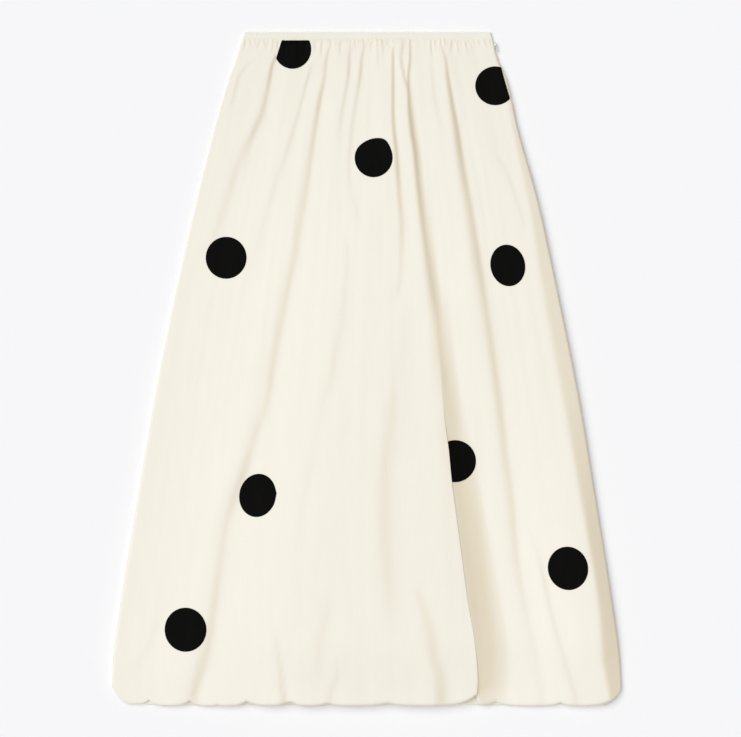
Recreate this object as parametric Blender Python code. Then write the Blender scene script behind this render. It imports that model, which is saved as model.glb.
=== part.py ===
"""Balloon skirt laid flat on its back: gathered waist, long fan of folds, hem rolled to the inside.

X runs across the skirt, +Y towards the waist and +Z up from the surface that it lies on.
Every panel is a wall of cloth. Its outer face is a surface of two parameters: a column, from 0 at the
left side seam to 1 at the right one, and a row, from 0 at the waist seam to 1 where the hem begins to
roll, 2 where the roll has turned under, and 3 at the cloth's raw edge inside.
"""
import math
from collections import namedtuple

import bmesh
import bpy
import numpy as np
from mathutils import Matrix, Vector

MM = 0.001

# Driving sizes
LENGTH = 945 * MM            # top of the waistband to the lowest lobe of the hem
BAND_DEPTH = 11 * MM
CLOTH = 1.6 * MM             # wall of every panel
BAND_CLOTH = 2.2 * MM        # the waistband is folded double
SEAM_GAP = 0.3 * MM
TURN_IN = 50 * MM            # cloth that runs back up inside the hem
DOT_CLOTH = 0.8 * MM
FRONT_GATHERS = 34
GATHER_HEIGHT = 0.9 * MM

TOP_Y = LENGTH / 2
BAND_Y = TOP_Y - BAND_DEPTH
WAIST_Y = BAND_Y - SEAM_GAP
HEM_Y = -LENGTH / 2

# Cross-sections of the flattened tube, in millimetres: where it lies along Y, how far it reaches to
# the left and right, the height of its side seams, of the front's shoulders and of the crown between
# them, and the width over which a shoulder rounds down to its seam.
Section = namedtuple("Section", "y left right seam shoulder crown reach")
SECTIONS = (
    Section(472.5, 172.6, 172.8, 2.5, 5.0, 0.0, 2.5),
    Section(461, 176.2, 175.8, 2.5, 5.0, 0.3, 2.5),
    Section(435, 184.4, 183.4, 2.9, 6.5, 1.2, 5),
    Section(407, 194.6, 195.8, 3.3, 8.5, 2.2, 9),
    Section(337, 214.2, 212.2, 4.3, 12, 3.4, 18),
    Section(239, 238.7, 239.8, 5.5, 15.5, 4.4, 26),
    Section(99, 270.4, 270.3, 6.8, 19, 5.2, 32),
    Section(-41, 298, 298.3, 7.8, 21.5, 5.6, 36),
    Section(-181, 321.9, 321.5, 8.6, 24, 5.6, 40),
    Section(-321, 344.8, 343.8, 9.1, 26, 5, 42),
    Section(-405, 356, 355, 9.3, 27, 4, 42),
    Section(-450, 358.2, 357.6, 9.3, 27.6, 3, 42),
)

# Soft valleys of the front, in millimetres: the path as (y, x), the depth as (y, depth), and how far
# the slopes spread to the left and to the right of the path.
Valley = namedtuple("Valley", "name path depth left right")
LEFT_LONG = Valley(
    "left long",
    ((461, -54), (390, -65), (300, -79), (200, -95), (100, -116), (0, -132), (-120, -169),
     (-240, -204), (-350, -219), (-460, -246)),
    ((461, 0.8), (390, 3.5), (250, 6), (50, 9), (-200, 11), (-380, 9), (-460, 6)), 20, 12)
RIGHT_LONG = Valley(
    "right long",
    ((461, 107), (390, 116), (300, 131), (200, 148), (100, 163), (0, 178), (-120, 195),
     (-240, 208), (-350, 222), (-460, 236)),
    ((461, 0.6), (390, 3), (250, 6), (50, 8), (-150, 8), (-300, 5), (-430, 0)), 13, 15)
VALLEYS = (
    LEFT_LONG,
    RIGHT_LONG,
    Valley("upper left", ((461, -122), (390, -141), (300, -174), (200, -211)),
           ((461, 0.6), (400, 2.5), (300, 3), (165, 0)), 12, 12),
    Valley("second left", ((461, -74), (390, -89), (300, -117), (200, -150), (140, -162)),
           ((461, 0.6), (400, 2.5), (280, 3.2), (130, 0)), 12, 12),
    Valley("waist left", ((461, -26), (390, -30), (300, -43)),
           ((461, 0.8), (420, 2.2), (360, 2), (295, 0)), 6, 6),
    Valley("waist middle", ((461, -5), (390, -15), (300, -19), (260, -24)),
           ((461, 0.8), (400, 2.6), (330, 2), (250, 0)), 6, 6),
    Valley("waist right", ((461, 36), (390, 36), (300, 40), (200, 47), (100, 41)),
           ((461, 0.8), (400, 2.8), (300, 3.4), (200, 2.6), (95, 0)), 8, 9),
    Valley("centre left", ((185, -34), (155, -29), (100, -33), (0, -50), (-125, -78), (-240, -96)),
           ((190, 0), (120, 2.2), (-100, 2.6), (-300, 0)), 16, 14),
    Valley("centre", ((100, 44), (0, 42), (-125, 25), (-240, 24)),
           ((100, 0), (20, 1.8), (-150, 1.8), (-250, 0)), 17, 17),
    Valley("lower right", ((-215, 228), (-350, 258), (-460, 288)),
           ((-205, 0), (-280, 3), (-380, 4.5), (-460, 3)), 13, 11),
    Valley("lower centre", ((-320, 73), (-390, 90), (-460, 98)),
           ((-310, 0), (-370, 3), (-460, 4)), 10, 9),
    Valley("lower left", ((-380, -123), (-440, -117), (-470, -106)),
           ((-365, 0), (-430, 3), (-470, 3.5)), 9, 9),
    Valley("lower middle", ((-285, -52), (-390, -66), (-470, -57)),
           ((-275, 0), (-350, 2.4), (-470, 3)), 11, 11),
)

# The main fold, in millimetres: from the brow on its left the cloth turns down by an angle, in
# degrees, runs straight, and turns level again as the lower sheet on the right.
BROW_PATH = ((461, 60), (390, 57), (300, 65), (200, 74), (100, 87), (0, 98), (-120, 106.8),
             (-240, 122), (-350, 138.6), (-440, 148.6), (-470, 146.6))
BROW_ANGLE = ((461, 8), (420, 28), (300, 75), (200, 110), (60, 155), (-60, 168), (-380, 165),
              (-430, 110), (-460, 40), (-472, 30))
BROW_RUN = ((461, 3), (300, 4.5), (200, 3.5), (60, 7), (-60, 10.5), (-380, 10), (-472, 4))
BROW_RADIUS = 2.8            # outer radius of the brow and of the turn under it
BROW_EASE = 48               # the lower sheet climbs back over this width
BROW_RIDGE = 2.4             # swell along the brow
BROW_RIDGE_WIDTH = 24
SHIFT_EASE = 70              # the sideways shift fades over this width

# Tucks of the hem, in millimetres: place along X, depth of the notch in the outline, length of the
# crease that runs up from it, and depth of that crease.
Tuck = namedtuple("Tuck", "x notch crease depth")
TUCKS = (
    Tuck(-307, 7, 30, 3.0),
    Tuck(-248, 4, 55, 2.5),
    Tuck(-169, 5, 36, 3.5),
    Tuck(-106, 6, 40, 3.0),
    Tuck(-55, 4, 40, 2.5),
    Tuck(17, 3.5, 26, 2.5),
    Tuck(93, 3, 48, 2.5),
    Tuck(153, 8, 26, 0),
    Tuck(179, 5, 30, 2.5),
    Tuck(272, 4, 36, 3.0),
)
TUCK_SPREAD = 8
TUCK_ROUNDING = 1.5          # radius left at the foot of a tuck
BACK_TUCKS = (-290, -221, -140, -82, -12, 61, 133, 206, 281)
BACK_NOTCH = 3.5
CORNER_FLAT = 299            # half the hem's straight run; beyond it the corners round up
CORNER_RISE = 25

# The hem's roll
SIDE_ROLL = 4.5 * MM         # radius of the roll at the side seams and under the back
MOUTH_GAP = 0.3 * MM         # half the gap between the two layers turned in, at the sides
MOUTH_SWELL = 2.4 * MM       # more of it in the middle
INNER_REACH = 10 * MM        # width over which the inner layer rounds to its seam
BACK_SET_IN = 3 * MM         # the back's hem lies this far behind the front's

# Dots, in millimetres: centre, half width, half height, tilt in degrees, and one straight cut where
# a seam or a fold ends the dot: a point on it and the way it faces out, in degrees from +X. A dot may
# be pulled to a point by the gathers above it, or lie on the lower sheet, beyond the brow.
Dot = namedtuple("Dot", "x y across along tilt cut pulled lower", defaults=(None, False, False))
Cut = namedtuple("Cut", "x y facing")
DOTS = (
    Dot(-105, 450.5, 26.2, 27.4, 0, Cut(-124.2, 450.5, 163)),
    Dot(178.5, 399.4, 28, 27.3, 0, Cut(193.9, 401, 16)),
    Dot(7.5, 297.5, 26.6, 27.5, 0, pulled=True),
    Dot(-198.8, 159.3, 28.7, 29.4, 0),
    Dot(196.7, 146.7, 24.8, 29.6, 12),
    Dot(-153.3, -175.4, 26.2, 31, -12),
    Dot(122.5, -126.4, 29.4, 29.4, 0, Cut(113.2, -126.4, 186), lower=True),
    Dot(280, -276.2, 28.4, 31, 12),
    Dot(-255.5, -361.6, 29.4, 30.8, 0),
)
DOT_SIDES = 28
DOT_MARGIN = 75 * MM         # facets this far beyond a dot may still reach into it

# Zip slider and pull, in millimetres, in the slider's own frame: along the edge, out from it, up
SLIDER = dict(y=456.5, long=7.0, wide=3.8, thick=1.2, stand_off=0.3)
BAIL = dict(out=2.9, pin=0.4, ear=1.1, ear_thick=0.8)
PULL = dict(eye=0.65, ring=1.15, wide=1.8, tab=3.2, long=10.5, thick=1.0)


def through(points, at):
    """Smooth curve through (place, value) pairs that overshoots none, held level beyond its ends."""
    place, value = np.array(sorted(points), float).T
    secant = np.diff(value) / np.diff(place)
    before, after = secant[:-1], secant[1:]
    same_way = before * after > 0
    slope = np.pad(np.where(same_way, 2 * before * after / np.where(same_way, before + after, 1), 0), 1)
    slope[0], slope[-1] = secant[0], secant[-1]
    at = np.clip(at, place[0], place[-1])
    low = np.clip(np.searchsorted(place, at) - 1, 0, len(place) - 2)
    span = place[low + 1] - place[low]
    f = (at - place[low]) / span
    rise = f * f * (3 - 2 * f)
    return (value[low] + (value[low + 1] - value[low]) * rise
            + span * f * (1 - f) * ((1 - f) * slope[low] - f * slope[low + 1]))


def section(y):
    """The cross-section at y, every size in metres."""
    sizes = [MM * through([(row.y, getattr(row, name)) for row in SECTIONS], y / MM)
             for name in Section._fields[1:]]
    return Section(y, *sizes)


def smoothstep(value):
    f = np.clip(value, 0, 1)
    return f * f * (3 - 2 * f)


def hat(t):
    """A valley of depth 1 between two low swells."""
    return (1 - t * t) * np.exp(-t * t)


# Columns of the front at which its long folds, shoulders and seams lie
GUIDES = (0.06, 0.33, 0.60, 0.72, 0.94)


def guide_places(y):
    """X of the left shoulder, left fold, brow, right fold and right shoulder at y."""
    at = section(y)
    paths = [MM * through(path, y / MM) for path in (LEFT_LONG.path, BROW_PATH, RIGHT_LONG.path)]
    return [at.reach - at.left, *paths, at.right - at.reach]


def across(column, y):
    """X on top of the front, with its shoulders left out."""
    places = guide_places(y)
    x = places[0] + 0 * column
    for start, end, left, right in zip(GUIDES, GUIDES[1:], places, places[1:]):
        x = x + (right - left) * np.clip((column - start) / (end - start), 0, 1)
    return x


def shoulder(turn, rise):
    """Sine and cosine of a quarter turn that stops half the seam's gap before its end."""
    angle = turn * np.arccos(np.clip(SEAM_GAP / 2 / rise, 0, 1))
    return np.sin(angle), np.cos(angle)


def hem_outline(x, tucks, notches):
    """Y of the hem's lower edge: rounded corners, and a cusp at each tuck between the lobes."""
    corner = np.clip((np.abs(x) / MM - CORNER_FLAT) / (SECTIONS[-1].right - CORNER_FLAT), 0, 1)
    y = HEM_Y + CORNER_RISE * MM * (1 - np.sqrt(1 - corner ** 2))
    for place, notch in zip(tucks, notches):
        away = np.hypot(x / MM - place, TUCK_ROUNDING) - TUCK_ROUNDING
        y = y + notch * MM * np.exp(-away / TUCK_SPREAD)
    return y


def gathers(x, y):
    """Fine waves below the waist seam, fanning out, each dying away at a length of its own."""
    at = section(y)
    place = (2 * x + at.left - at.right) / (at.left + at.right)
    length = (52 + 20 * np.sin(11.3 * place + 1) + 12 * np.sin(29 * place)) * MM
    below = (WAIST_Y - y) / length
    height = (0.75 + np.minimum(below, 0.25)) * (1 - smoothstep(below))
    return GATHER_HEIGHT * height * np.cos(2 * math.pi * gather_phase(place))


def gather_phase(place):
    """Number of waves up to a place, from -1 at the left end of the waist to 1 at the right."""
    return (FRONT_GATHERS / 2 * place + 0.30 * np.sin(15 * place) + 0.16 * np.sin(37 * place + 1))


def fold_depth(x, y):
    """How far the valleys, the brow's drop and the hem's creases sink the front."""
    x, y = x / MM, y / MM
    sunk = 0
    for valley in VALLEYS:
        t = x - through(valley.path, y)
        t = t / np.where(t < 0, valley.left, valley.right)
        sunk = sunk + through(valley.depth, y) * hat(t)
    t, _, drop, whole_drop, length = brow_turn(x, y)
    past = np.maximum(t - length / 2, 0)
    before = np.minimum(t + length / 2, 0)
    swell = BROW_RIDGE * smoothstep(whole_drop / 10) * np.exp(-(before / BROW_RIDGE_WIDTH) ** 2)
    sunk = sunk + (drop - swell) * np.exp(-(past / BROW_EASE) ** 2)
    for tuck in TUCKS:
        near = 1 - smoothstep((y - HEM_Y / MM) / tuck.crease)
        sunk = sunk + tuck.depth * near * np.exp(-((x - tuck.x) / TUCK_SPREAD) ** 2)
    return sunk * MM


def brow_turn(x, y):
    """Arc, straight run and arc of the main fold, in millimetres.

    Gives the distance along the cloth from the fold's middle, the place across and the drop that
    this comes to, the whole drop, and the length of cloth in the fold.
    """
    angle = np.radians(through(BROW_ANGLE, y))
    run = through(BROW_RUN, y)
    arc_length = BROW_RADIUS * angle
    length = 2 * arc_length + run
    t = x - through(BROW_PATH, y)
    gone = t + length / 2
    first = np.clip(gone, 0, arc_length) / BROW_RADIUS
    straight = np.clip(gone - arc_length, 0, run)
    last = angle - np.clip(gone - arc_length - run, 0, arc_length) / BROW_RADIUS
    place = (np.minimum(gone, 0) + BROW_RADIUS * np.sin(first) + straight * np.cos(angle)
             + BROW_RADIUS * (np.sin(angle) - np.sin(last)) + np.maximum(gone - length, 0))
    drop = (BROW_RADIUS * (1 - np.cos(first)) + straight * np.sin(angle)
            + BROW_RADIUS * (np.cos(last) - np.cos(angle)))
    whole_place = 2 * BROW_RADIUS * np.sin(angle) + run * np.cos(angle)
    whole_drop = 2 * BROW_RADIUS * (1 - np.cos(angle)) + run * np.sin(angle)
    return t, place - whole_place / 2, drop, whole_drop, length


def brow_shift(x, y):
    """Sideways shift that doubles the cloth back under the brow."""
    t, place, _, _, _ = brow_turn(x / MM, y / MM)
    return MM * (place - t) * np.exp(-(t / SHIFT_EASE) ** 4)


def front_face(column, row, gathered=True):
    """Outer face of the front: flat top with a crown, elliptic shoulders, folds sunk into it.

    Past row 1 it rolls through half an ellipse, and past row 2 it runs back up inside, level.
    """
    column = np.clip(column, 0, 1)
    row = np.clip(row, 0, 3)
    turned = math.pi * np.clip(row - 1, 0, 1)
    inside = TURN_IN * np.clip(row - 2, 0, 1)
    tucked = (1 - np.cos(turned)) / 2

    left_turn = np.clip(1 - column / GUIDES[0], 0, 1)
    right_turn = np.clip((column - GUIDES[-1]) / (1 - GUIDES[-1]), 0, 1)
    turn = left_turn + right_turn

    hem = section(HEM_Y + 0 * column)
    hem_sin, _ = shoulder(turn, hem.shoulder - hem.seam)
    hem_x = across(column, hem.y) + np.sign(column - 0.5) * hem.reach * hem_sin * (turn > 0)
    roll_start = SIDE_ROLL + (half_roll(hem) - SIDE_ROLL) * (1 - turn ** 2)
    hem_start = hem_outline(hem_x, [t.x for t in TUCKS], [t.notch for t in TUCKS]) + roll_start
    y = WAIST_Y + (hem_start - WAIST_Y) * np.clip(row, 0, 1) + inside

    at = section(y)
    x = across(column, y)
    flat_half = np.where(x < 0, at.left - at.reach, at.right - at.reach)
    crown = (1 - np.clip(x / flat_half, -1, 1) ** 2) ** 2
    top = at.shoulder + at.crown * crown
    inner_top = at.seam + MOUTH_GAP + MOUTH_SWELL * crown
    top = top + (inner_top - top) * tucked
    reach = at.reach + (INNER_REACH - at.reach) * tucked
    sine, cosine = shoulder(turn, top - at.seam)

    side = np.sign(column - 0.5)
    edge = np.where(column < 0.5, at.left, at.right) - 2 * SIDE_ROLL * tucked
    x = np.where(turn > 0, side * (edge - reach + reach * sine), x * (1 - 0.01 * tucked))
    fade = (1 - turn) ** 2 * (1 - tucked)
    z = at.seam + (top - at.seam) * cosine
    z = z - fade * fold_depth(x, y)
    if gathered:
        z = z + fade * gathers(x, y)
    x = x + fade * brow_shift(x, y)
    return np.stack([x, y - roll_start * np.sin(turned), z], axis=-1)


def half_roll(at):
    """Radius of the front's roll in the middle: half the height between its two layers."""
    return (at.shoulder + at.crown - at.seam - MOUTH_GAP - MOUTH_SWELL) / 2


def back_face(column, row):
    """Outer face of the back: level on the surface, curling up in a quarter round at each side."""
    column = np.clip(column, 0, 1)
    row = np.clip(row, 0, 3)
    turned = math.pi * np.clip(row - 1, 0, 1)
    inside = TURN_IN * np.clip(row - 2, 0, 1)
    tucked = (1 - np.cos(turned)) / 2

    side = np.sign(column - 0.5)
    from_edge = np.minimum(column, 1 - column)
    turn = np.clip(1 - from_edge / GUIDES[0], 0, 1)
    spread = np.clip((column - GUIDES[0]) / (1 - 2 * GUIDES[0]), 0, 1)

    def plan(y, roll):
        at = section(y)
        rise = at.seam * (1 - roll) + MOUTH_GAP * roll
        reach = at.seam * (1 - roll) + INNER_REACH * roll
        sine, cosine = shoulder(turn, rise)
        left = at.left - 2 * SIDE_ROLL * roll
        right = at.right - 2 * SIDE_ROLL * roll
        flat = (reach - left) + (left + right - 2 * reach) * spread
        x = np.where(turn > 0, side * (np.where(side < 0, left, right) - reach * (1 - sine)), flat)
        return x, at.seam - rise * cosine

    hem_x, _ = plan(HEM_Y + 0 * column, 0)
    set_in = BACK_SET_IN * (1 - (2 * column - 1) ** 12)
    notches = [BACK_NOTCH] * len(BACK_TUCKS)
    hem_start = hem_outline(hem_x, BACK_TUCKS, notches) + set_in * (1 - turn) + SIDE_ROLL
    y = WAIST_Y + (hem_start - WAIST_Y) * np.clip(row, 0, 1) + inside
    x, z = plan(y, tucked)
    return np.stack([x, y - SIDE_ROLL * np.sin(turned), z], axis=-1)


def front_at_waist(column, row):
    """The front's section at the waist, level, with no gathers or folds in it."""
    at = section(WAIST_Y + 0 * column)
    left_turn = np.clip(1 - column / GUIDES[0], 0, 1)
    right_turn = np.clip((column - GUIDES[-1]) / (1 - GUIDES[-1]), 0, 1)
    turn = left_turn + right_turn
    sine, cosine = shoulder(turn, at.shoulder - at.seam)
    edge = np.where(column < 0.5, at.left, at.right) - at.reach * (1 - sine)
    x = np.where(turn > 0, np.sign(column - 0.5) * edge, across(column, at.y))
    return np.stack([x, at.y, at.seam + (at.shoulder - at.seam) * cosine], axis=-1)


def outward(face, column, row, sign, level=False):
    """Unit normal of a face, from the slopes along its column and its row; level leaves Y out."""
    step = 1e-4
    along = face(column + step, row) - face(column - step, row)
    down = face(column, row + step) - face(column, row - step)
    normal = np.cross(down, along)
    if level:
        normal[..., 1] = 0
    return sign * normal / np.linalg.norm(normal, axis=-1, keepdims=True)


def stitch(upper, lower, upper_at, lower_at):
    """Triangles between two lines of points: matched one to one, or merged by their spacing."""
    i = k = 0
    faces = []
    same = len(upper) == len(lower)
    while i < len(upper) - 1 or k < len(lower) - 1:
        if k == len(lower) - 1:
            move_upper = True
        elif i == len(upper) - 1:
            move_upper = False
        elif same:
            move_upper = i < k
        else:
            move_upper = upper_at[i + 1] < lower_at[k + 1]
        if move_upper:
            faces.append((upper[i], lower[k], upper[i + 1]))
            i += 1
        else:
            faces.append((upper[i], lower[k], lower[k + 1]))
            k += 1
    return faces


class Skin:
    """One side of a wall: rows of points, each row with columns of its own."""

    def __init__(self, first):
        self.first = first
        self.points = []
        self.rows = []
        self.columns = []
        self.at = []

    def add(self, at, columns, points):
        start = self.first + len(self.points)
        self.points.extend(points)
        self.rows.append(list(range(start, start + len(points))))
        self.columns.append(list(columns))
        self.at.append(at)

    def faces(self):
        strips = zip(self.rows, self.rows[1:], self.columns, self.columns[1:])
        return [face for strip in strips for face in stitch(*strip)]

    def border(self, name):
        """A side of the skin, as its points and their places along it."""
        if name in ("first", "last"):
            which = 0 if name == "first" else -1
            return self.rows[which], self.columns[which]
        which = 0 if name == "left" else -1
        return [row[which] for row in self.rows], self.at


def cloth_wall(name, face, sign, outer_rows, inner_rows, thickness, plain_face=None, level=False):
    """A closed wall: the outer face, a plainer inner face moved in by the cloth, and four rims."""
    plain_face = plain_face or face
    outer = Skin(0)
    for at, columns in outer_rows:
        columns = np.array(columns)
        outer.add(at, columns, face(columns, at + 0 * columns))
    inner = Skin(len(outer.points))
    for at, columns in inner_rows:
        columns = np.array(columns)
        rows = at + 0 * columns
        moved_in = outward(plain_face, columns, rows, sign, level) * thickness(columns, rows)[:, None]
        inner.add(at, columns, plain_face(columns, rows) - moved_in)
    faces = outer.faces() + [face[::-1] for face in inner.faces()]
    for border in ("first", "last", "left", "right"):
        (upper, upper_at), (lower, lower_at) = outer.border(border), inner.border(border)
        faces += stitch(upper, lower, upper_at, lower_at)
    thing = new_object(name, outer.points + inner.points, faces)
    return thing, outer


def new_object(name, points, faces):
    """An object from points and faces, its faces turned outwards."""
    mesh = bpy.data.meshes.new(name)
    mesh.from_pydata([tuple(map(float, p)) for p in points], [], faces)
    shell = bmesh.new()
    shell.from_mesh(mesh)
    bmesh.ops.recalc_face_normals(shell, faces=shell.faces)
    shell.to_mesh(mesh)
    shell.free()
    mesh.shade_smooth()
    mesh.set_sharp_from_angle(angle=math.radians(40))
    thing = bpy.data.objects.new(name, mesh)
    bpy.context.scene.collection.objects.link(thing)
    return thing


def fill(marks, widest):
    """The marks, and even steps between those that lie further apart than the widest step."""
    marks = sorted(marks)
    filled = [marks[0]]
    for low, high in zip(marks, marks[1:]):
        steps = max(1, math.ceil((high - low) / widest - 1e-9))
        filled += [low + (high - low) * k / steps for k in range(1, steps + 1)]
    return filled


def shoulder_columns(steps):
    """Even columns round the left and the right shoulder."""
    side = [GUIDES[0] * k / steps for k in range(steps + 1)]
    return side, [1 - c for c in reversed(side)]


def gather_columns(per_wave):
    """Columns of the waist where the fine waves reach their crests, troughs and the slopes between."""
    columns = np.linspace(GUIDES[0], GUIDES[-1], 4001)
    at = section(WAIST_Y)
    x = across(columns, WAIST_Y + 0 * columns)
    phase = gather_phase((2 * x + at.left - at.right) / (at.left + at.right))
    first, last = math.ceil(phase[0] * per_wave), math.floor(phase[-1] * per_wave)
    inner = np.interp(np.arange(first, last + 1) / per_wave, phase, columns)
    margin = 0.3 * (inner[1] - inner[0])
    inner = [c for c in inner if GUIDES[0] + margin < c < GUIDES[-1] - margin]
    left, right = shoulder_columns(3)
    return left + inner + right


# Distances, in millimetres, of the closer columns on both sides of each long fold, and the steps
# that divide each arc of the brow
LEFT_OFFSETS = (-30, -20, -12, -6, 0, 6, 12, 20)
RIGHT_OFFSETS = (-18, -9, 0, 8, 16, 26)
BROW_BESIDE = (4, 10, 18)
ARC_STEPS = 5


def brow_offsets(y):
    """Distances along the cloth at which the brow's arcs are divided, and a few on both sides."""
    arc_length = BROW_RADIUS * math.radians(through(BROW_ANGLE, y / MM))
    half_run = through(BROW_RUN, y / MM) / 2
    side = [half_run + arc_length * k / ARC_STEPS for k in range(ARC_STEPS + 1)]
    side += [side[-1] + beside for beside in BROW_BESIDE]
    return [-d for d in reversed(side)] + side


def fold_columns(y):
    """Columns that follow the long folds at fixed distances, and even steps between the folds."""
    places = guide_places(y)
    columns = []
    for guide, offsets in ((1, LEFT_OFFSETS), (2, brow_offsets(y)), (3, RIGHT_OFFSETS)):
        for offset in offsets:
            other = guide + (1 if offset > 0 else -1)
            share = abs(offset) * MM / abs(places[other] - places[guide])
            columns.append(GUIDES[guide] + share * (GUIDES[other] - GUIDES[guide]))
    left_fold = len(LEFT_OFFSETS)
    gaps = ((GUIDES[0], columns[0], 5), (columns[left_fold - 1], columns[left_fold], 17),
            (columns[-1], GUIDES[-1], 4))
    for low, high, steps in gaps:
        columns += [low + (high - low) * k / steps for k in range(1, steps)]
    left, right = shoulder_columns(4)
    return left + sorted(columns) + right


def hem_columns():
    """Columns of the hem: close at each tuck and over the brow, and even steps between."""
    columns = np.linspace(GUIDES[0], GUIDES[-1], 2001)
    x = across(columns, HEM_Y + 0 * columns) / MM
    near_hem = HEM_Y + 25 * MM
    brow = [through(BROW_PATH, near_hem / MM) + offset for offset in brow_offsets(near_hem)]
    marks = [x[0], x[-1], *brow]
    for tuck in TUCKS:
        marks += [mark for mark in (tuck.x - TUCK_SPREAD, tuck.x, tuck.x + TUCK_SPREAD)
                  if not brow[0] - 4 < mark < brow[-1] + 4]
    left, right = shoulder_columns(4)
    return left[:-1] + list(np.interp(fill(marks, 21), x, columns)) + right[1:]


def row_at(y):
    """Row of the front or back that lies at y, away from the hem's lobes."""
    return (WAIST_Y - y) / (WAIST_Y - HEM_Y - 9 * MM)


# Rows of the front, as millimetres below the waist seam
GATHERED_ROWS = (0, 7, 17, 31, 48, 68)
INNER_ROWS = (0, 31, 68)
EASED_ROWS = (92, 120, 152)
FOLDED_ROWS = (190, 240, 295, 355, 415, 475, 535, 595, 655, 715, 770, 820)
HEM_ROWS = (858, 882, 901, 914)
ROLL_STEPS = 7               # of the half turn at the hem


def front_rows():
    """Rows of the front's outer face and of its inner one."""
    def down(distances):
        return [row_at(WAIST_Y - d * MM) for d in distances]

    gathered, eased, hem = gather_columns(4), gather_columns(2), hem_columns()
    roll = [1 + k / ROLL_STEPS for k in range(ROLL_STEPS + 1)]
    folded = [(row, fold_columns(WAIST_Y - d * MM)) for row, d in zip(down(FOLDED_ROWS), FOLDED_ROWS)]
    outer = [(row, gathered) for row in down(GATHERED_ROWS)]
    outer += [(row, eased) for row in down(EASED_ROWS)]
    outer += folded
    outer += [(row, hem) for row in down(HEM_ROWS) + roll + [3]]
    inner = [(row, gathered) for row in down(INNER_ROWS)] + outer[len(GATHERED_ROWS):]
    return outer, inner


BACK_ROWS = (0, 30, 65, 110, 160, 220, 290, 370, 460, 550, 640, 730, 800, 850, 885)
BACK_CORNERS = (0.08, 0.11, 0.15, 0.85, 0.89, 0.92)


def back_rows():
    """Rows of the back, for both its faces: wide over its flat part, close round the hem."""
    left, right = shoulder_columns(4)
    hem = left[:-1] + fill([GUIDES[0], *BACK_CORNERS, GUIDES[-1]], 0.035) + right[1:]
    body = left[:-1] + fill([GUIDES[0], GUIDES[-1]], 0.11) + right[1:]
    roll = [1 + k / ROLL_STEPS for k in range(ROLL_STEPS + 1)]
    return ([(row_at(WAIST_Y - d * MM), body) for d in BACK_ROWS]
            + [(row, hem) for row in roll + [3]])


def cloth_material(name, colour, roughness, metallic=0.0):
    """A plain finish with the piece's colour."""
    material = bpy.data.materials.new(name)
    material.use_nodes = True
    shader = material.node_tree.nodes["Principled BSDF"]
    shader.inputs["Base Color"].default_value = (*colour, 1)
    shader.inputs["Roughness"].default_value = roughness
    shader.inputs["Metallic"].default_value = metallic
    return material


def dress(thing, material):
    thing.data.materials.clear()
    thing.data.materials.append(material)


def build_front():
    """Front panel; its inner face leaves the fine gathers out, so the cloth there is a little thicker."""
    def thickness(column, row):
        below = smoothstep(row * (WAIST_Y - HEM_Y) / (80 * MM))
        return CLOTH + 0.5 * GATHER_HEIGHT * (1 - below) * (row < 1)

    def plain(column, row):
        return front_face(column, row, gathered=False)

    outer, inner = front_rows()
    return cloth_wall("front_panel", front_face, 1, outer, inner, thickness, plain)


def build_back():
    def thickness(column, row):
        return CLOTH + 0 * column

    rows = back_rows()
    return cloth_wall("back_panel", back_face, -1, rows, rows, thickness)[0]


def build_band(name, face_at_waist, sign):
    """Half of the waistband: the section at the waist, carried up to the top edge."""
    def thickness(column, row):
        return BAND_CLOTH + 0 * column

    def face(column, row):
        column = np.clip(column, 0, 1)
        x, _, z = np.moveaxis(face_at_waist(column, 0 * column), -1, 0)
        y = TOP_Y + (BAND_Y - TOP_Y) * np.clip(row, 0, 1)
        waist, here = section(WAIST_Y), section(y)
        x = x * np.where(x < 0, here.left / waist.left, here.right / waist.right)
        return np.stack([x, y, z], axis=-1)

    left, right = shoulder_columns(4)
    columns = left[:-1] + fill([GUIDES[0], GUIDES[-1]], 0.11) + right[1:]
    rows = [(row, columns) for row in (0, 0.5, 1)]
    return cloth_wall(name, face, sign, rows, rows, thickness, level=True)[0]


def dot_outline(dot):
    """Corners of a dot's rounded outline; a pulled one is pointed up to the right."""
    angle = np.arange(DOT_SIDES) * 2 * math.pi / DOT_SIDES
    radius = np.ones(DOT_SIDES)
    if dot.pulled:
        radius += 0.09 * np.exp(-((angle - math.radians(58)) / 0.36) ** 2)
        radius -= 0.06 * np.exp(-((angle - math.radians(118)) / 0.5) ** 2)
    x = dot.across * radius * np.cos(angle)
    y = dot.along * radius * np.sin(angle)
    tilt = math.radians(dot.tilt)
    return np.stack([dot.x + x * math.cos(tilt) - y * math.sin(tilt),
                     dot.y + x * math.sin(tilt) + y * math.cos(tilt)], axis=1) * MM


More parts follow.
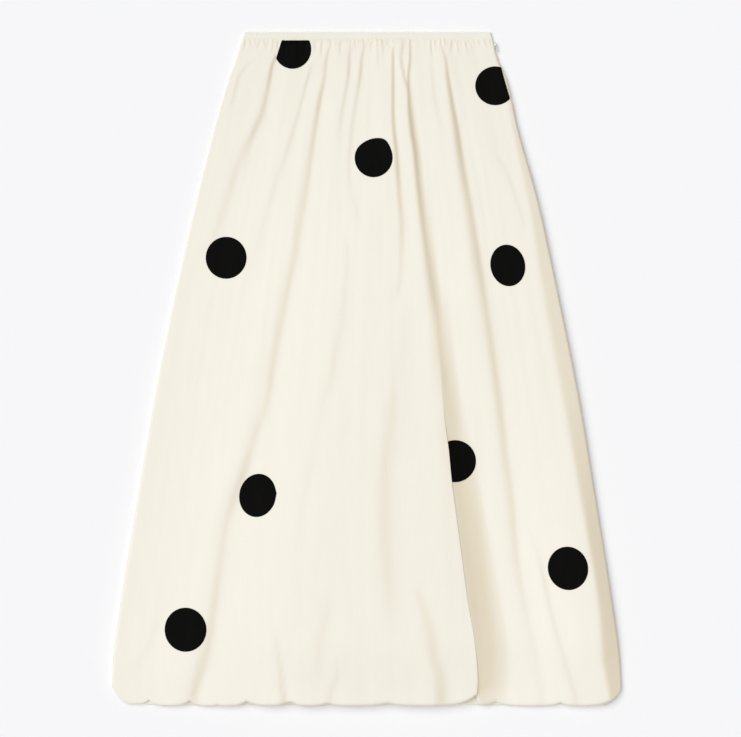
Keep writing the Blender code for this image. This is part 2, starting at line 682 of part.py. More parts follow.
def build_dot(name, dot, skin):
    """A dot of cloth: the front's own facets inside its outline, moved out and given a thickness."""
    corners = dot_outline(dot)
    points = np.array(skin.points)
    reach = max(dot.across, dot.along) * MM + DOT_MARGIN
    allowed = np.linalg.norm(points[:, :2] - corners.mean(axis=0), axis=1) < reach
    if dot.lower:
        allowed &= np.concatenate(skin.columns) > GUIDES[2]
    faces = [face for face in skin.faces() if all(allowed[p] for p in face)]

    shell = bmesh.new()
    used = sorted({p for f in faces for p in f})
    verts = {p: shell.verts.new(points[p]) for p in used}
    for face in faces:
        shell.faces.new([verts[p] for p in face])
    cuts = [((a + b) / 2, np.array([b[1] - a[1], a[0] - b[0]]))
            for a, b in zip(corners, np.roll(corners, -1, axis=0))]
    if dot.cut:
        facing = math.radians(dot.cut.facing)
        cuts.append(((dot.cut.x * MM, dot.cut.y * MM), (math.cos(facing), math.sin(facing))))
    cuts.append(((0, WAIST_Y - SEAM_GAP / 2), (0, 1)))
    for place, normal in cuts:
        bmesh.ops.bisect_plane(shell, geom=shell.verts[:] + shell.edges[:] + shell.faces[:], dist=1e-6,
                               plane_co=(*place, 0), plane_no=(*normal, 0), clear_outer=True)
    bmesh.ops.remove_doubles(shell, verts=shell.verts, dist=0.05 * MM)
    bmesh.ops.triangulate(shell, faces=shell.faces)
    out = sum((f.normal * f.calc_area() for f in shell.faces), Vector()).normalized()
    if out.z < 0:
        out.negate()
    bmesh.ops.translate(shell, verts=shell.verts, vec=out * SEAM_GAP)
    top = bmesh.ops.extrude_face_region(shell, geom=shell.faces[:])
    raised = [item for item in top["geom"] if isinstance(item, bmesh.types.BMVert)]
    bmesh.ops.translate(shell, verts=raised, vec=out * DOT_CLOTH)
    bmesh.ops.recalc_face_normals(shell, faces=shell.faces)
    mesh = bpy.data.meshes.new(name)
    shell.to_mesh(mesh)
    shell.free()
    thing = bpy.data.objects.new(name, mesh)
    bpy.context.scene.collection.objects.link(thing)
    return thing


def edge_frame(y):
    """Matrix of a frame on the right side edge at y: X down along the edge, Y out from it, Z up."""
    step = 1 * MM
    here, below = section(y), section(y - step)
    down = Vector((below.right - here.right, -step, 0)).normalized()
    out = Vector((-down.y, down.x, 0))
    up = Vector((0, 0, 1))
    frame = Matrix((down, out, up)).transposed().to_4x4()
    frame.translation = (here.right, y, here.seam)
    return frame


def prism(outline, low, high):
    """Closed prism of an outline in the X-Y plane, between two heights, as a bmesh."""
    shell = bmesh.new()
    base = [shell.verts.new((x * MM, y * MM, low * MM)) for x, y in outline]
    face = shell.faces.new(base)
    raised = bmesh.ops.extrude_face_region(shell, geom=[face])
    tops = [v for v in raised["geom"] if isinstance(v, bmesh.types.BMVert)]
    bmesh.ops.translate(shell, verts=tops, vec=(0, 0, (high - low) * MM))
    bmesh.ops.recalc_face_normals(shell, faces=shell.faces)
    return shell


def placed(name, shell, frame):
    """An object of a bmesh, moved into a frame."""
    mesh = bpy.data.meshes.new(name)
    bmesh.ops.transform(shell, matrix=frame, verts=shell.verts)
    shell.to_mesh(mesh)
    shell.free()
    thing = bpy.data.objects.new(name, mesh)
    bpy.context.scene.collection.objects.link(thing)
    return thing


def arc(x, y, radius, start, end, steps):
    """Points of a round stretch, angles in degrees."""
    angles = [math.radians(start + (end - start) * k / steps) for k in range(steps + 1)]
    return [(x + radius * math.cos(a), y + radius * math.sin(a)) for a in angles]


def fuse(base, parts, operation):
    """Join parts to the base, or cut them out of it, and drop them."""
    for part in parts:
        modifier = base.modifiers.new(part.name, "BOOLEAN")
        modifier.operation = operation
        modifier.object = part
    graph = bpy.context.evaluated_depsgraph_get()
    mesh = bpy.data.meshes.new_from_object(base.evaluated_get(graph))
    base.modifiers.clear()
    base.data = mesh
    for part in parts:
        bpy.data.objects.remove(part)


def build_slider(frame):
    """Slider body on the coil, with two ears and the pin that carries the pull."""
    half, back = SLIDER["long"] / 2, SLIDER["stand_off"]
    front = back + SLIDER["thick"]
    body_outline = [(-half, back), (half, back), (half, front - 0.3), (half - 0.5, front),
                    (0.5 - half, front), (-half, front - 0.3)]
    half_wide = SLIDER["wide"] / 2
    body = placed("zip_slider", prism(body_outline, -half_wide, half_wide), frame)
    ear_outline = [(-1.5, front - 0.4), (1.5, front - 0.4)]
    ear_outline += arc(0, BAIL["out"], BAIL["ear"], 0, 180, 8)
    parts = []
    for name, outer in (("lower", -half_wide), ("upper", half_wide - BAIL["ear_thick"])):
        parts.append(placed(name, prism(ear_outline, outer, outer + BAIL["ear_thick"]), frame))
    pin_outline = arc(0, BAIL["out"], BAIL["pin"], 0, 360, 10)[:-1]
    inset = half_wide - 0.2
    parts.append(placed("pin", prism(pin_outline, -inset, inset), frame))
    fuse(body, parts, "UNION")
    return body


def build_pull(frame):
    """Pull: an eye on the slider's pin and a rounded tab hanging from it, down along the edge."""
    out, half_wide, half_thick = BAIL["out"], PULL["wide"] / 2, PULL["thick"] / 2
    ring = arc(0, out, PULL["ring"], 0, 360, 16)[:-1]
    pull = placed("zip_pull", prism(ring, -half_wide, half_wide), frame)
    start, half_tab, end = (PULL["eye"] + PULL["ring"]) / 2, PULL["tab"] / 2, PULL["long"]
    tab = [(start, 0.2 - half_wide), (start + 0.9, 0.2 - half_wide), (start + 2, -half_tab)]
    tab += arc(end - half_tab, 0, half_tab, -90, 90, 8)
    tab += [(start + 2, half_tab), (start + 0.9, half_wide - 0.2), (start, half_wide - 0.2)]
    on_edge = Matrix.Translation((0, out * MM, 0)) @ Matrix.Rotation(math.radians(-90), 4, "X")
    part = placed("tab", prism(tab, -half_thick, half_thick), frame @ on_edge)
    fuse(pull, [part], "UNION")
    eye = prism(arc(0, out, PULL["eye"], 0, 360, 12)[:-1], -2 * half_wide, 2 * half_wide)
    fuse(pull, [placed("eye", eye, frame)], "DIFFERENCE")
    return pull


def main():
    for thing in list(bpy.data.objects):
        bpy.data.objects.remove(thing)
    cream = cloth_material("cream_cloth", (0.88, 0.84, 0.73), 0.62)
    black = cloth_material("black_cloth", (0.012, 0.011, 0.009), 0.5)
    enamel = cloth_material("zip_enamel", (0.62, 0.60, 0.54), 0.35, 0.2)

    front, skin = build_front()
    for thing in (front, build_back(), build_band("waistband_front", front_at_waist, 1),
                  build_band("waistband_back", back_face, -1)):
        dress(thing, cream)
    for number, dot in enumerate(DOTS, 1):
        dress(build_dot(f"dot_{number}", dot, skin), black)
    frame = edge_frame(SLIDER["y"] * MM)
    dress(build_slider(frame), enamel)
    dress(build_pull(frame), enamel)


main()
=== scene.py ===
"""Balloon skirt laid flat: fine cloth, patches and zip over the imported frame, on a pale floor.

X runs across the skirt, +Y towards the waist and +Z up. All tables and shape functions are in
millimetres and become metres when a mesh is made. A panel is a surface of two parameters: a column,
from 0 at the left side seam to 1 at the right one, and a row, from 0 at the waist seam to 1 where the
hem begins to roll, 2 where it has turned under and 3 at the raw edge inside.
"""
import math
from collections import namedtuple

import bpy
import numpy as np
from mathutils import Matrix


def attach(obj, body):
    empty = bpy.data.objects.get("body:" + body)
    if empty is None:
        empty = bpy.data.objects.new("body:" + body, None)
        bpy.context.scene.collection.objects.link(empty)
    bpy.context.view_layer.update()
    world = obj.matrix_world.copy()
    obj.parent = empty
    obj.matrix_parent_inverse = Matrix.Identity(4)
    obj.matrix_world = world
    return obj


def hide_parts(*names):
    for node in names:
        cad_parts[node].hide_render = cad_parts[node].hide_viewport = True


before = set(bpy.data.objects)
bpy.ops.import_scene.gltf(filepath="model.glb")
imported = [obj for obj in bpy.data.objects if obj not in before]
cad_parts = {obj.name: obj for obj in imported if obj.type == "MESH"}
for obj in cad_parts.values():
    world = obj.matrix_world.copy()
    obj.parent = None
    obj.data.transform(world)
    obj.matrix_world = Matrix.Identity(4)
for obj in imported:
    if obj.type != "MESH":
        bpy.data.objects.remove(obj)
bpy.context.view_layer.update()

bl_info = {
    "name": "Balloon skirt",
    "version": (1, 0, 0),
    "blender": (4, 5, 0),
    "location": "3D View > Sidebar > Skirt",
    "description": "Builds the cloth, patches, waistband and zip of a balloon skirt laid flat",
    "category": "Add Mesh",
}

MM = 0.001

# Driving sizes, from the photo's edges: the waist and the hem lie within 2.5 mm of the solids'
LENGTH = 944
BAND_DEPTH = 11
BAND_CLOTH = 2.2             # thickness of the waistband, both layers
BAND_ROUNDING = 0.4
BAND_ROWS = 24
SEAM_GAP = 0.3               # between the waistband and the cloth below it
TOP_Y = 474.2
BAND_Y = TOP_Y - BAND_DEPTH
WAIST_Y = BAND_Y - SEAM_GAP
HEM_Y = TOP_Y - LENGTH
ROLL_Y = HEM_Y + 9           # where the hem begins to roll
PANEL_LENGTH = WAIST_Y - ROLL_Y

# Cross-sections of the flattened tube: where it lies along Y, how far it reaches to the left and
# right, the height of its side seams, of the front's shoulders and of the crown between them, and the
# width over which a shoulder rounds down to its seam
Section = namedtuple("Section", "y left right seam shoulder crown reach")
SECTIONS = [Section(*row) for row in (
    (474.5, 172.6, 172.8, 2.5, 5, 0, 2.5),
    (462.8, 176.2, 175.8, 2.5, 5, 0.3, 2.5),
    (435, 184.4, 183.4, 2.6, 6.5, 1.2, 5),
    (407, 194.6, 195.6, 2.7, 8.5, 2.2, 9),
    (337, 214.6, 211.6, 2.9, 12, 3.4, 18),
    (239, 239.2, 239, 3.2, 15.5, 4.4, 26),
    (99, 270.9, 269.3, 3.5, 19, 5.2, 32),
    (-41, 298.6, 297.3, 3.7, 21.5, 5.6, 36),
    (-181, 322.5, 320.4, 3.9, 24, 5.6, 40),
    (-321, 345.4, 342.6, 4, 26, 5, 42),
    (-405, 356.6, 353.8, 4, 27, 4, 42),
    (-450, 358.7, 356.4, 4, 27.6, 3, 42),
)]

# Folds of the front. Each is a step in the cloth, down to the right, that eases away on both sides: its
# path as (y, x), how steep its face is as (y, rise over run), the half width of the face as (y, mm), how
# far the ease spreads, and its skew: above 1 the left half of the face is the wider one
Fold = namedtuple("Fold", "path steep width spread skew", defaults=(1,))
FOLD_STRENGTH = ((461, 1.45), (337, 1.4), (281, 1.15), (225, 0.98), (0, 0.9), (-472, 0.92))
FOLD_WIDTH = ((461, 1), (380, 1.05), (337, 1.2), (225, 1.4), (-472, 1.4))
FOLD_SPREAD = 1.25
LEFT_LONG = Fold(
    ((456, -52), (438, -57), (413, -59.5), (379, -66.5), (309, -78), (253, -86), (197, -96), (155, -102),
     (113, -112), (29, -128), (-55, -144), (-97, -159), (-139, -171.5), (-181, -187), (-223, -199),
     (-307, -211), (-377, -222), (-426, -234), (-455, -244)),
    ((461, 0.2), (438, 0.3), (413, 0.28), (379, 0.43), (337, 0.35), (150, 0.37), (0, 0.36), (-97, 0.3),
     (-150, 0.44), (-223, 0.33), (-307, 0.38), (-405, 0.46), (-455, 0.36)),
    ((458, 1.6), (413, 2.6), (379, 3.6), (340, 4.8), (300, 5.2), (150, 7.6), (-100, 9.2), (-300, 10.2),
     (-405, 10), (-455, 7.5)), 34, 1.35)
RIGHT_LONG = Fold(
    ((457, 103), (438, 109.5), (413, 112.7), (379, 118.3), (337, 125.3), (281, 133.7), (225, 144),
     (155, 155), (71, 167.3), (-13, 180), (-97, 191), (-181, 202), (-265, 210), (-349, 225), (-405, 236),
     (-447, 243)),
    ((461, 0.15), (449, 0.3), (427, 0.42), (413, 0.54), (396, 0.62), (337, 0.65), (281, 0.56), (225, 0.5),
     (155, 0.56), (71, 0.45), (-223, 0.42), (-307, 0.32), (-377, 0.24), (-447, 0.16)),
    ((457, 1.4), (438, 2), (396, 2.5), (337, 3.7), (253, 4.5), (113, 6.2), (-100, 7.5), (-447, 7)),
    30, 1.25)
FOLDS = (
    LEFT_LONG,
    RIGHT_LONG,
    # the upper half of the main fold, before it doubles under its brow
    Fold(((460, 59.5), (438, 59.5), (413, 57), (379, 58), (337, 62), (309, 66.5), (253, 72), (197, 79),
          (113, 91), (71, 98.5), (29, 103), (-13, 108), (-55, 115), (-97, 121), (-160, 128)),
         ((461, 0.3), (440, 0.42), (396, 0.56), (358, 0.68), (309, 0.75), (253, 0.75), (197, 0.68),
          (113, 0.62), (71, 0.5), (0, 0.36), (-55, 0.2), (-97, 0.06), (-130, 0)),
         ((460, 1.6), (396, 2.4), (358, 3.5), (300, 3.7), (197, 4.6), (113, 7), (29, 9),
          (-160, 9)), 40, 0.8),
    # the left arm that joins it below the waist
    Fold(((460, 49.7), (449, 48), (438, 47), (427, 48.3), (413, 51), (399, 55)),
         ((461, 0.4), (449, 0.6), (430, 0.75), (413, 0.7), (399, 0.3), (392, 0)),
         ((461, 1.4), (399, 1.8)), 7),
    Fold(((450, 35.7), (358, 35.7), (337, 37), (309, 40), (253, 44), (197, 48), (148, 47), (113, 42.5),
          (98, 37.5)),
         ((456, 0), (450, 0.35), (438, 0.55), (379, 0.62), (281, 0.62), (253, 0.5), (197, 0.38),
          (148, 0.24), (113, 0.22), (95, 0)),
         ((450, 1.2), (438, 1.8), (337, 2.2), (253, 3), (150, 4), (100, 2.5)), 16),
    Fold(((460, -3), (438, -8), (413, -10.5), (379, -16), (337, -22), (309, -24.5), (281, -26),
          (253, -23), (225, -16), (190, -12)),
         ((461, 0.2), (438, 0.33), (427, 0.4), (413, 0.38), (390, 0.26), (281, 0.22), (225, 0.14),
          (188, 0)),
         ((460, 1.5), (413, 2.5), (358, 4.2), (281, 4.5), (200, 5)), 16),
    Fold(((379, 2), (337, -1)),
         ((398, 0), (379, 0.12), (337, 0.12), (308, 0)),
         ((379, 3), (337, 3)), 10),
    Fold(((456, -24.5), (427, -26), (413, -27), (379, -33), (358, -37), (309, -41), (281, -43),
          (218, -43)),
         ((460, 0.12), (440, 0.28), (425, 0.36), (400, 0.25), (358, 0.25), (309, 0.15), (230, 0.08),
          (205, 0)),
         ((458, 1.5), (413, 2.8), (358, 4.3), (281, 6)), 15),
    Fold(((427, -79), (413, -83), (379, -92), (337, -103.5), (281, -122), (225, -141), (155, -160),
          (113, -175), (64, -194)),
         ((436, 0), (427, 0.18), (413, 0.28), (358, 0.22), (280, 0.19), (155, 0.15), (60, 0)),
         ((430, 1.8), (380, 3), (300, 5), (150, 8), (64, 9)), 22),
    Fold(((438, -129.5), (427, -134), (413, -136.5), (379, -143.5), (358, -149), (309, -172),
          (253, -193), (197, -211), (160, -224)),
         ((446, 0), (438, 0.45), (413, 0.5), (395, 0.35), (358, 0.3), (300, 0.2), (200, 0.17), (158, 0)),
         ((440, 1.8), (390, 3.2), (340, 6.5), (300, 8), (160, 9)), 26),
    Fold(((435, -160), (427, -169), (413, -180), (379, -190), (345, -203)),
         ((440, 0), (427, 0.14), (400, 0.14), (345, 0)),
         ((435, 2.4), (379, 3.4)), 9),
    Fold(((427, 90), (396, 91.7), (358, 98.7), (337, 106), (305, 112)),
         ((440, 0), (427, 0.1), (396, 0.15), (337, 0.1), (300, 0)),
         ((427, 3), (337, 5)), 12),
    Fold(((309, 172), (281, 194), (253, 203.7), (225, 213.5), (190, 223)),
         ((318, 0), (281, 0.13), (225, 0.14), (188, 0)),
         ((309, 3), (190, 5)), 10),
    Fold(((189, -36), (172, -29), (152, -28), (113, -31.5), (71, -36), (29, -44), (-13, -52.5),
          (-55, -66), (-97, -73.5), (-139, -80), (-223, -95), (-265, -93), (-349, -97)),
         ((194, 0), (172, 0.18), (113, 0.2), (29, 0.19), (-97, 0.12), (-139, 0.18), (-200, 0.1),
          (-349, 0.07), (-380, 0)),
         ((190, 2), (150, 3), (71, 6), (-97, 7), (-349, 9)), 26),
    Fold(((90, 50), (71, 50), (-13, 40), (-97, 30), (-139, 24.5), (-181, 23), (-265, 27), (-307, 31),
          (-380, 38)),
         ((92, 0), (60, 0.1), (-13, 0.1), (-55, 0.19), (-265, 0.17), (-307, 0.13), (-380, 0)),
         ((90, 8), (-55, 11), (-370, 14)), 40),
    Fold(((-209, 222), (-265, 240), (-307, 250), (-349, 259.7), (-405, 275), (-455, 290.5)),
         ((-200, 0), (-223, 0.12), (-265, 0.27), (-307, 0.35), (-405, 0.3), (-455, 0.22)),
         ((-205, 4), (-300, 4.5), (-455, 6)), 22),
    Fold(((-300, 65), (-349, 81), (-405, 91.7), (-426, 98), (-455, 101.5)),
         ((-292, 0), (-307, 0.14), (-349, 0.26), (-377, 0.32), (-426, 0.4), (-455, 0.42)),
         ((-300, 6), (-455, 7)), 26),
    Fold(((-363, -131), (-405, -124), (-455, -118)),
         ((-352, 0), (-377, 0.22), (-405, 0.4), (-426, 0.52), (-455, 0.6)),
         ((-355, 3), (-405, 2.6), (-455, 2.2)), 12),
    Fold(((-335, -57), (-377, -65), (-433, -68)),
         ((-300, 0), (-349, 0.16), (-405, 0.14), (-442, 0)),
         ((-335, 6), (-433, 5)), 16),
    Fold(((-405, -41), (-426, -43), (-444, -49.5), (-457, -54)),
         ((-393, 0), (-426, 0.22), (-457, 0.3)),
         ((-405, 4), (-457, 3)), 14),
    Fold(((-307, -272), (-349, -293), (-391, -310), (-430, -333)),
         ((-290, 0), (-349, 0.08), (-391, 0.1), (-435, 0)),
         ((-307, 6), (-430, 5)), 16),
)

# Gathers along the waist seam: where each starts, how far it leans over its reach, its reach below the
# seam, how steep its face is and the half width of the face
Gather = namedtuple("Gather", "x lean reach steep width")
GATHER_STRENGTH = 2.5
GATHERS = [Gather(*row) for row in (
    (-171, -5, 16, 0.3, 1.2), (-165, 4, 12, 0.34, 1), (-158, 4, 14, 0.3, 1.1),
    (-151.5, -4, 15, 0.34, 1.1), (-145, 3, 17, 0.3, 1.2), (-139, -3, 14, 0.28, 1.1),
    (-132, -3, 24, 0.3, 1.3), (-127, 1, 26, 0.35, 1.2), (-117, -1, 32, 0.3, 1.3),
    (-108.5, -1, 27, 0.3, 1.2), (-99, 0, 35, 0.3, 1.4), (-90, -1, 30, 0.3, 1.3), (-74, -1, 24, 0.32, 1.2),
    (-64, -3, 34, 0.34, 1.2), (-43.5, -2, 16, 0.22, 1.1), (-38.5, -2, 30, 0.28, 1.2),
    (-17.5, -1, 18, 0.22, 1.1), (4.2, 0, 20, 0.26, 1.1), (14, 1, 56, 0.3, 1.1), (20.5, 1, 30, 0.32, 1.1),
    (28, 0, 14, 0.22, 1), (71.5, 1, 18, 0.24, 1.1), (80, 0, 18, 0.22, 1.1), (88, 3, 34, 0.32, 1.2),
    (94, 2, 20, 0.22, 1.1), (110.5, 1, 12, 0.22, 1), (118.5, -4, 25, 0.28, 1.2), (127, 2, 30, 0.22, 1.4),
    (137, 6, 28, 0.28, 1.2), (143.5, 5, 24, 0.24, 1.2), (149, 4, 18, 0.26, 1.1), (156, 2, 15, 0.28, 1.1),
    (164, 5, 16, 0.28, 1.1), (171, 2, 12, 0.24, 1),
)]

# The main fold: from the brow on its left the cloth turns down by an angle, in degrees, runs straight,
# and turns level again as the lower sheet on the right
BROW_PATH = ((461, 60), (390, 57), (300, 65), (200, 76), (100, 92), (0, 101.8), (-60, 107.3), (-97, 111.2),
             (-146, 115), (-209, 123), (-265, 130.5), (-321, 138), (-377, 147.5), (-440, 153), (-470, 153))
BROW_ANGLE = ((461, 0), (10, 0), (-45, 22), (-75, 70), (-105, 150), (-200, 178), (-380, 178), (-430, 160),
              (-460, 80), (-472, 50))
BROW_RUN = ((461, 1), (10, 1), (-60, 1), (-90, 1.3), (-115, 3.2), (-160, 4), (-380, 4), (-440, 3),
            (-472, 1))
BROW_RADIUS = 0.18
BROW_EASE = 90               # its drop eases away over this width to the right
BROW_ROLL = 1.0              # the cloth dips by this much as it comes to the brow
BROW_ROLL_WIDTH = 5
SHIFT_EASE = 70              # the sideways shift that doubles the cloth eases away over this width
BROW_GRID = 4                # the grid is fine over at least this width beside the brow,
BROW_BESIDE = 12             # and of middling size over this much more

BrowSize = namedtuple("BrowSize", "angle run length across down")

# The lower sheet, to the right of the main fold: how far it falls away past the fold, over which width,
# how much of that is left at the right shoulder, and the power of its curve
LOWER_FALL = ((60, 0), (0, 3.5), (-40, 6), (-97, 10), (-181, 15.5), (-321, 18.5), (-400, 15.5), (-472, 8))
LOWER_WIDTH = ((60, 22), (0, 25), (-50, 29), (-97, 33), (-181, 40), (-321, 46), (-400, 46), (-472, 42))
LOWER_LEFT_OVER = ((60, 0), (-209, 2), (-377, 3), (-472, 3))
LOWER_POWER = 1.45

# The side edges: on the left the cloth sinks gently to a rounded edge, and on the right a slope runs
# down to it
LEFT_EDGE_WIDTH = 5
LEFT_SINK = 0.84             # share of the loft that is lost towards the left edge
LEFT_SINK_WIDTH = 265
LEFT_SINK_START = 90         # it grows to its full share over this length below the waist
RIGHT_EDGE_WIDTH = 2.5
EDGE_MOST = 0.8              # an edge is no wider than this share of its height
EDGE_LEAST_JUMP = 0.2        # and takes at least this share of the height
EDGE_ROUNDING = 0.08         # rounds it into the level top, as a share of the height
RIGHT_SLOPE = ((461, 0.2), (300, 0.33), (100, 0.36), (-13, 0.38), (-125, 0.5), (-200, 0.6), (-237, 0.66),
               (-350, 0.62), (-433, 0.54))
RIGHT_SLOPE_WIDTH = ((461, 2), (400, 5), (337, 8), (225, 15), (100, 22), (-13, 24), (-125, 22),
                     (-237, 20.5), (-321, 20), (-377, 23.5), (-433, 27))

# Tucks of the hem: place along X, depth of the notch in the outline, length of the crease that runs up
# from it, depth of that crease, and how far the notch spreads to the left and to the right
Tuck = namedtuple("Tuck", "x notch crease depth left right", defaults=(8, 8))
TUCKS = [Tuck(*row) for row in (
    (-307, 8, 14, 1.6), (-248.5, 7, 16, 1.6, 9, 6), (-210.5, 1.5, 8, 0.8, 3, 3),
    (-168.7, 7, 12, 1.6, 7, 9), (-107, 7, 10, 1.2, 9, 5), (-55, 4.5, 10, 1.2, 7, 6),
    (28.7, 4.5, 8, 0.8, 12, 12), (151.5, 15, 20, 0, 15, 3.5), (181, 6, 14, 1.4, 9, 14),
    (272, 4.5, 12, 1.4, 11, 7),
)]
TUCK_CREASE = 3
TUCK_ROUNDING = 0.6
BACK_TUCKS = [Tuck(x, 3.5, 40, 1.6) for x in (-290, -221, -140, -82, -12, 61, 133, 206, 281)]
CORNER_FLAT = 299
CORNER_RISE = 25

# The hem's roll
SIDE_ROLL = 4.5              # its radius on the back and at the side seams
MOUTH_GAP = 0.3              # the back's turned-in hem lies this far below the seams
MOUTH_SWELL = 2.4            # room left inside the front's roll
INNER_REACH = 10             # width of the shoulders of the turned-in hem
BACK_SET_IN = 1.2            # the back's hem lies this far inside the front's outline

# Cloth of the visual model
BACK_LIFT = 0.5              # the back's cloth lies this far above the floor, on its own patches
WAIST_TUCK = 1.5             # cloth that runs up behind the waistband's lower edge,
WAIST_TUCK_DROP = 0.3        # and lies this much lower there
WAIST_PUFF = 0.3             # the gathers puff up by this much beside the waist seam
WAIST_PUFF_LENGTH = 2.5
INNER_HEIGHT = 4.6           # the turned-in hem of the front lies at this height,
INNER_CLEAR = 0.5            # and its side seams at least this far below it
INNER_DRAW_IN = 0.01         # share by which it is narrower than the hem
HEM_SQUARE = 0.6             # below 1 the hem's roll stays level closer to its edge
HEM_DIP = 9                  # the front sinks by this much as it comes to the hem
HEM_DIP_LENGTH = 95
PAINTED_SHADE_TONE = (0.98, 0.905, 0.79)  # painted shade: multiplies the cream, darker and yellower, where the cloth leans away from the main light
PAINTED_SHADE_LEAN = 0.5              # lean to the right, as a sine, at which the painted shade is full
PAINTED_SHADE_UNDER = 0.6             # painted shade on the level sheet close to the brow
WAIST_SHADE_TONE = (0.965, 0.965, 0.965)  # painted shade: darkens the cream towards the waist, for the shade among the gathers
WAIST_SHADE_FROM, WAIST_SHADE_TO = 0.1, 0.46    # Y in metres over which that grows

# Dots: centre, half width, half height, tilt in degrees, and one straight cut where a seam or a fold
# ends the dot: a point on it and the way it faces out, in degrees from +X. A dot may be pulled to a
# point by the gathers above it, or lie on the lower sheet, beyond the brow.
Dot = namedtuple("Dot", "x y across along tilt cut pulled lower", defaults=(None, False, False))
Cut = namedtuple("Cut", "x y facing")
DOTS = (
    Dot(-105, 450.5, 26.2, 27.4, 0, Cut(-124.2, 450.5, 163)),
    Dot(178.9, 399.2, 28, 27.3, 0, Cut(193.9, 401, 16)),
    Dot(8.6, 298.2, 26.6, 27.5, 0, pulled=True),
    Dot(-198, 158.3, 28.7, 29.4, 0),
    Dot(196.3, 147.4, 24.2, 29.3, 12),
    Dot(-153.7, -174.3, 25.7, 30.4, -12),
    Dot(122.5, -126.4, 29.4, 29.4, 0, Cut(114.2, -126.4, 186), lower=True),
    Dot(280.4, -276.3, 28, 30.5, 12),
    Dot(-254.6, -362.3, 29.4, 30.8, 0),
)
PATCH_ANGLES = np.arange(160) / 160 * 2 * math.pi
BACK_PATCH_HEIGHT = 0.3      # top of a back patch over the panel
PATCH_EDGE = 0.8             # width over which a patch's edge is rounded off
BACK_DOTS = (
    Dot(96, 428, 27, 28, 0), Dot(-118, 352, 28, 28, 0),
    *(Dot(x, y, 28, 29, 0) for x, y in ((30, 236), (188, 118), (-196, 66), (-30, -38), (156, -172),
                                        (-226, -214), (-66, -338), (262, -372))),
)

# Floor, main light and camera
FLOOR_HALF = 6000
FLOOR_Z = -0.2
SUN_TILT = (math.radians(-7), math.radians(-21), 0)
VIEW_PIXELS = 741            # the view's width
VIEW_MIDDLE = (0.0042, 0.0032)
VIEW_HEIGHT = 0.012          # the view's scale holds this far up, in metres


def size(name):
    """A length among the settings, in millimetres."""
    return getattr(bpy.context.scene.skirt_sizes, name) / MM


def through(points, at):
    """Smooth curve through (place, value) pairs: cubic pieces whose slopes overshoot no pair."""
    place, value = np.array(sorted(points), float).T
    secant = np.diff(value) / np.diff(place)
    before, after = secant[:-1], secant[1:]
    same_way = before * after > 0
    slope = np.pad(np.where(same_way, 2 * before * after / np.where(same_way, before + after, 1), 0), 1)
    slope[0], slope[-1] = secant[0], secant[-1]
    at = np.clip(at, place[0], place[-1])
    low = np.clip(np.searchsorted(place, at) - 1, 0, len(place) - 2)
    span = place[low + 1] - place[low]
    f = (at - place[low]) / span
    rise = f * f * (3 - 2 * f)
    return (value[low] + (value[low + 1] - value[low]) * rise
            + span * f * (1 - f) * ((1 - f) * slope[low] - f * slope[low + 1]))


def section(y):
    """The cross-section at y."""
    return Section(y, *(through([(row.y, getattr(row, name)) for row in SECTIONS], y)
                        for name in Section._fields[1:]))


def smoothstep(value):
    """0 below 0, 1 above 1, and 3f² - 2f³ between."""
    f = np.clip(value, 0, 1)
    return f * f * (3 - 2 * f)


def step_down(t, steep, width, spread):
    """Depth of a step of given steepness: its steepness times its half width, times tanh(t / width),
    easing away on both sides as e^(-|t| / spread)."""
    return steep * width * np.tanh(t / width) * np.exp(-np.abs(t) / spread)


def soft_least(first, second, softness):
    """The lesser of two values, rounded where they cross."""
    return (first + second - np.hypot(first - second, softness)) / 2


def notch(t):
    """A sharp crease of depth 1 with straight flanks: e^(-|t|), rounded at its foot."""
    return np.exp(0.35 - np.hypot(t, 0.35))


def quarter_round(value):
    """Height of a quarter circle, upright at 0 and 1 from 1 on."""
    return np.sqrt(np.maximum(1 - (1 - np.clip(value, 0, 1)) ** 2, 0))


def share_across(x, y):
    """-1 at the left edge of the skirt, 1 at the right one."""
    at = section(y)
    return (2 * x + at.left - at.right) / (at.left + at.right)


def row_at(y):
    """The row that lies at y, above the hem's roll."""
    return (WAIST_Y - y) / PANEL_LENGTH


# Columns of the front at which its long folds, shoulders and seams lie
GUIDES = (0.06, 0.33, 0.60, 0.72, 0.94)


def guide_places(y):
    """X of the left shoulder, left fold, brow, right fold and right shoulder at y."""
    at = section(y)
    paths = [through(path, y) for path in (LEFT_LONG.path, BROW_PATH, RIGHT_LONG.path)]
    return [at.reach - at.left, *paths, at.right - at.reach]


def between(value, marks, places):
    """The place that answers to a value: straight runs from each mark to the next."""
    place = places[0] + 0 * value
    for start, end, left, right in zip(marks, marks[1:], places, places[1:]):
        place = place + (right - left) * np.clip((value - start) / (end - start), 0, 1)
    return place


def across(column, y):
    """X on top of the front, with its shoulders left out."""
    return between(column, GUIDES, guide_places(y))


def column_at(x, y):
    """The column whose place on top of the front is x: the inverse of across."""
    return between(x, guide_places(y), GUIDES)


def shoulder(turn, rise):
    """Sine and cosine of a quarter turn that stops half the seam's gap before its end."""
    angle = turn * np.arccos(np.clip(SEAM_GAP / 2 / rise, 0, 1))
    return np.sin(angle), np.cos(angle)


def hem_outline(x, tucks):
    """Y of the hem's lower edge: rounded corners, and a cusp at each tuck between the lobes."""
    corner = np.clip((np.abs(x) - CORNER_FLAT) / (SECTIONS[-1].right - CORNER_FLAT), 0, 1)
    y = HEM_Y + CORNER_RISE * (1 - np.sqrt(1 - corner ** 2))
    for tuck in tucks:
        away = np.hypot(x - tuck.x, TUCK_ROUNDING) - TUCK_ROUNDING
        y = y + tuck.notch * np.exp(-away / np.where(x < tuck.x, tuck.left, tuck.right))
    return y


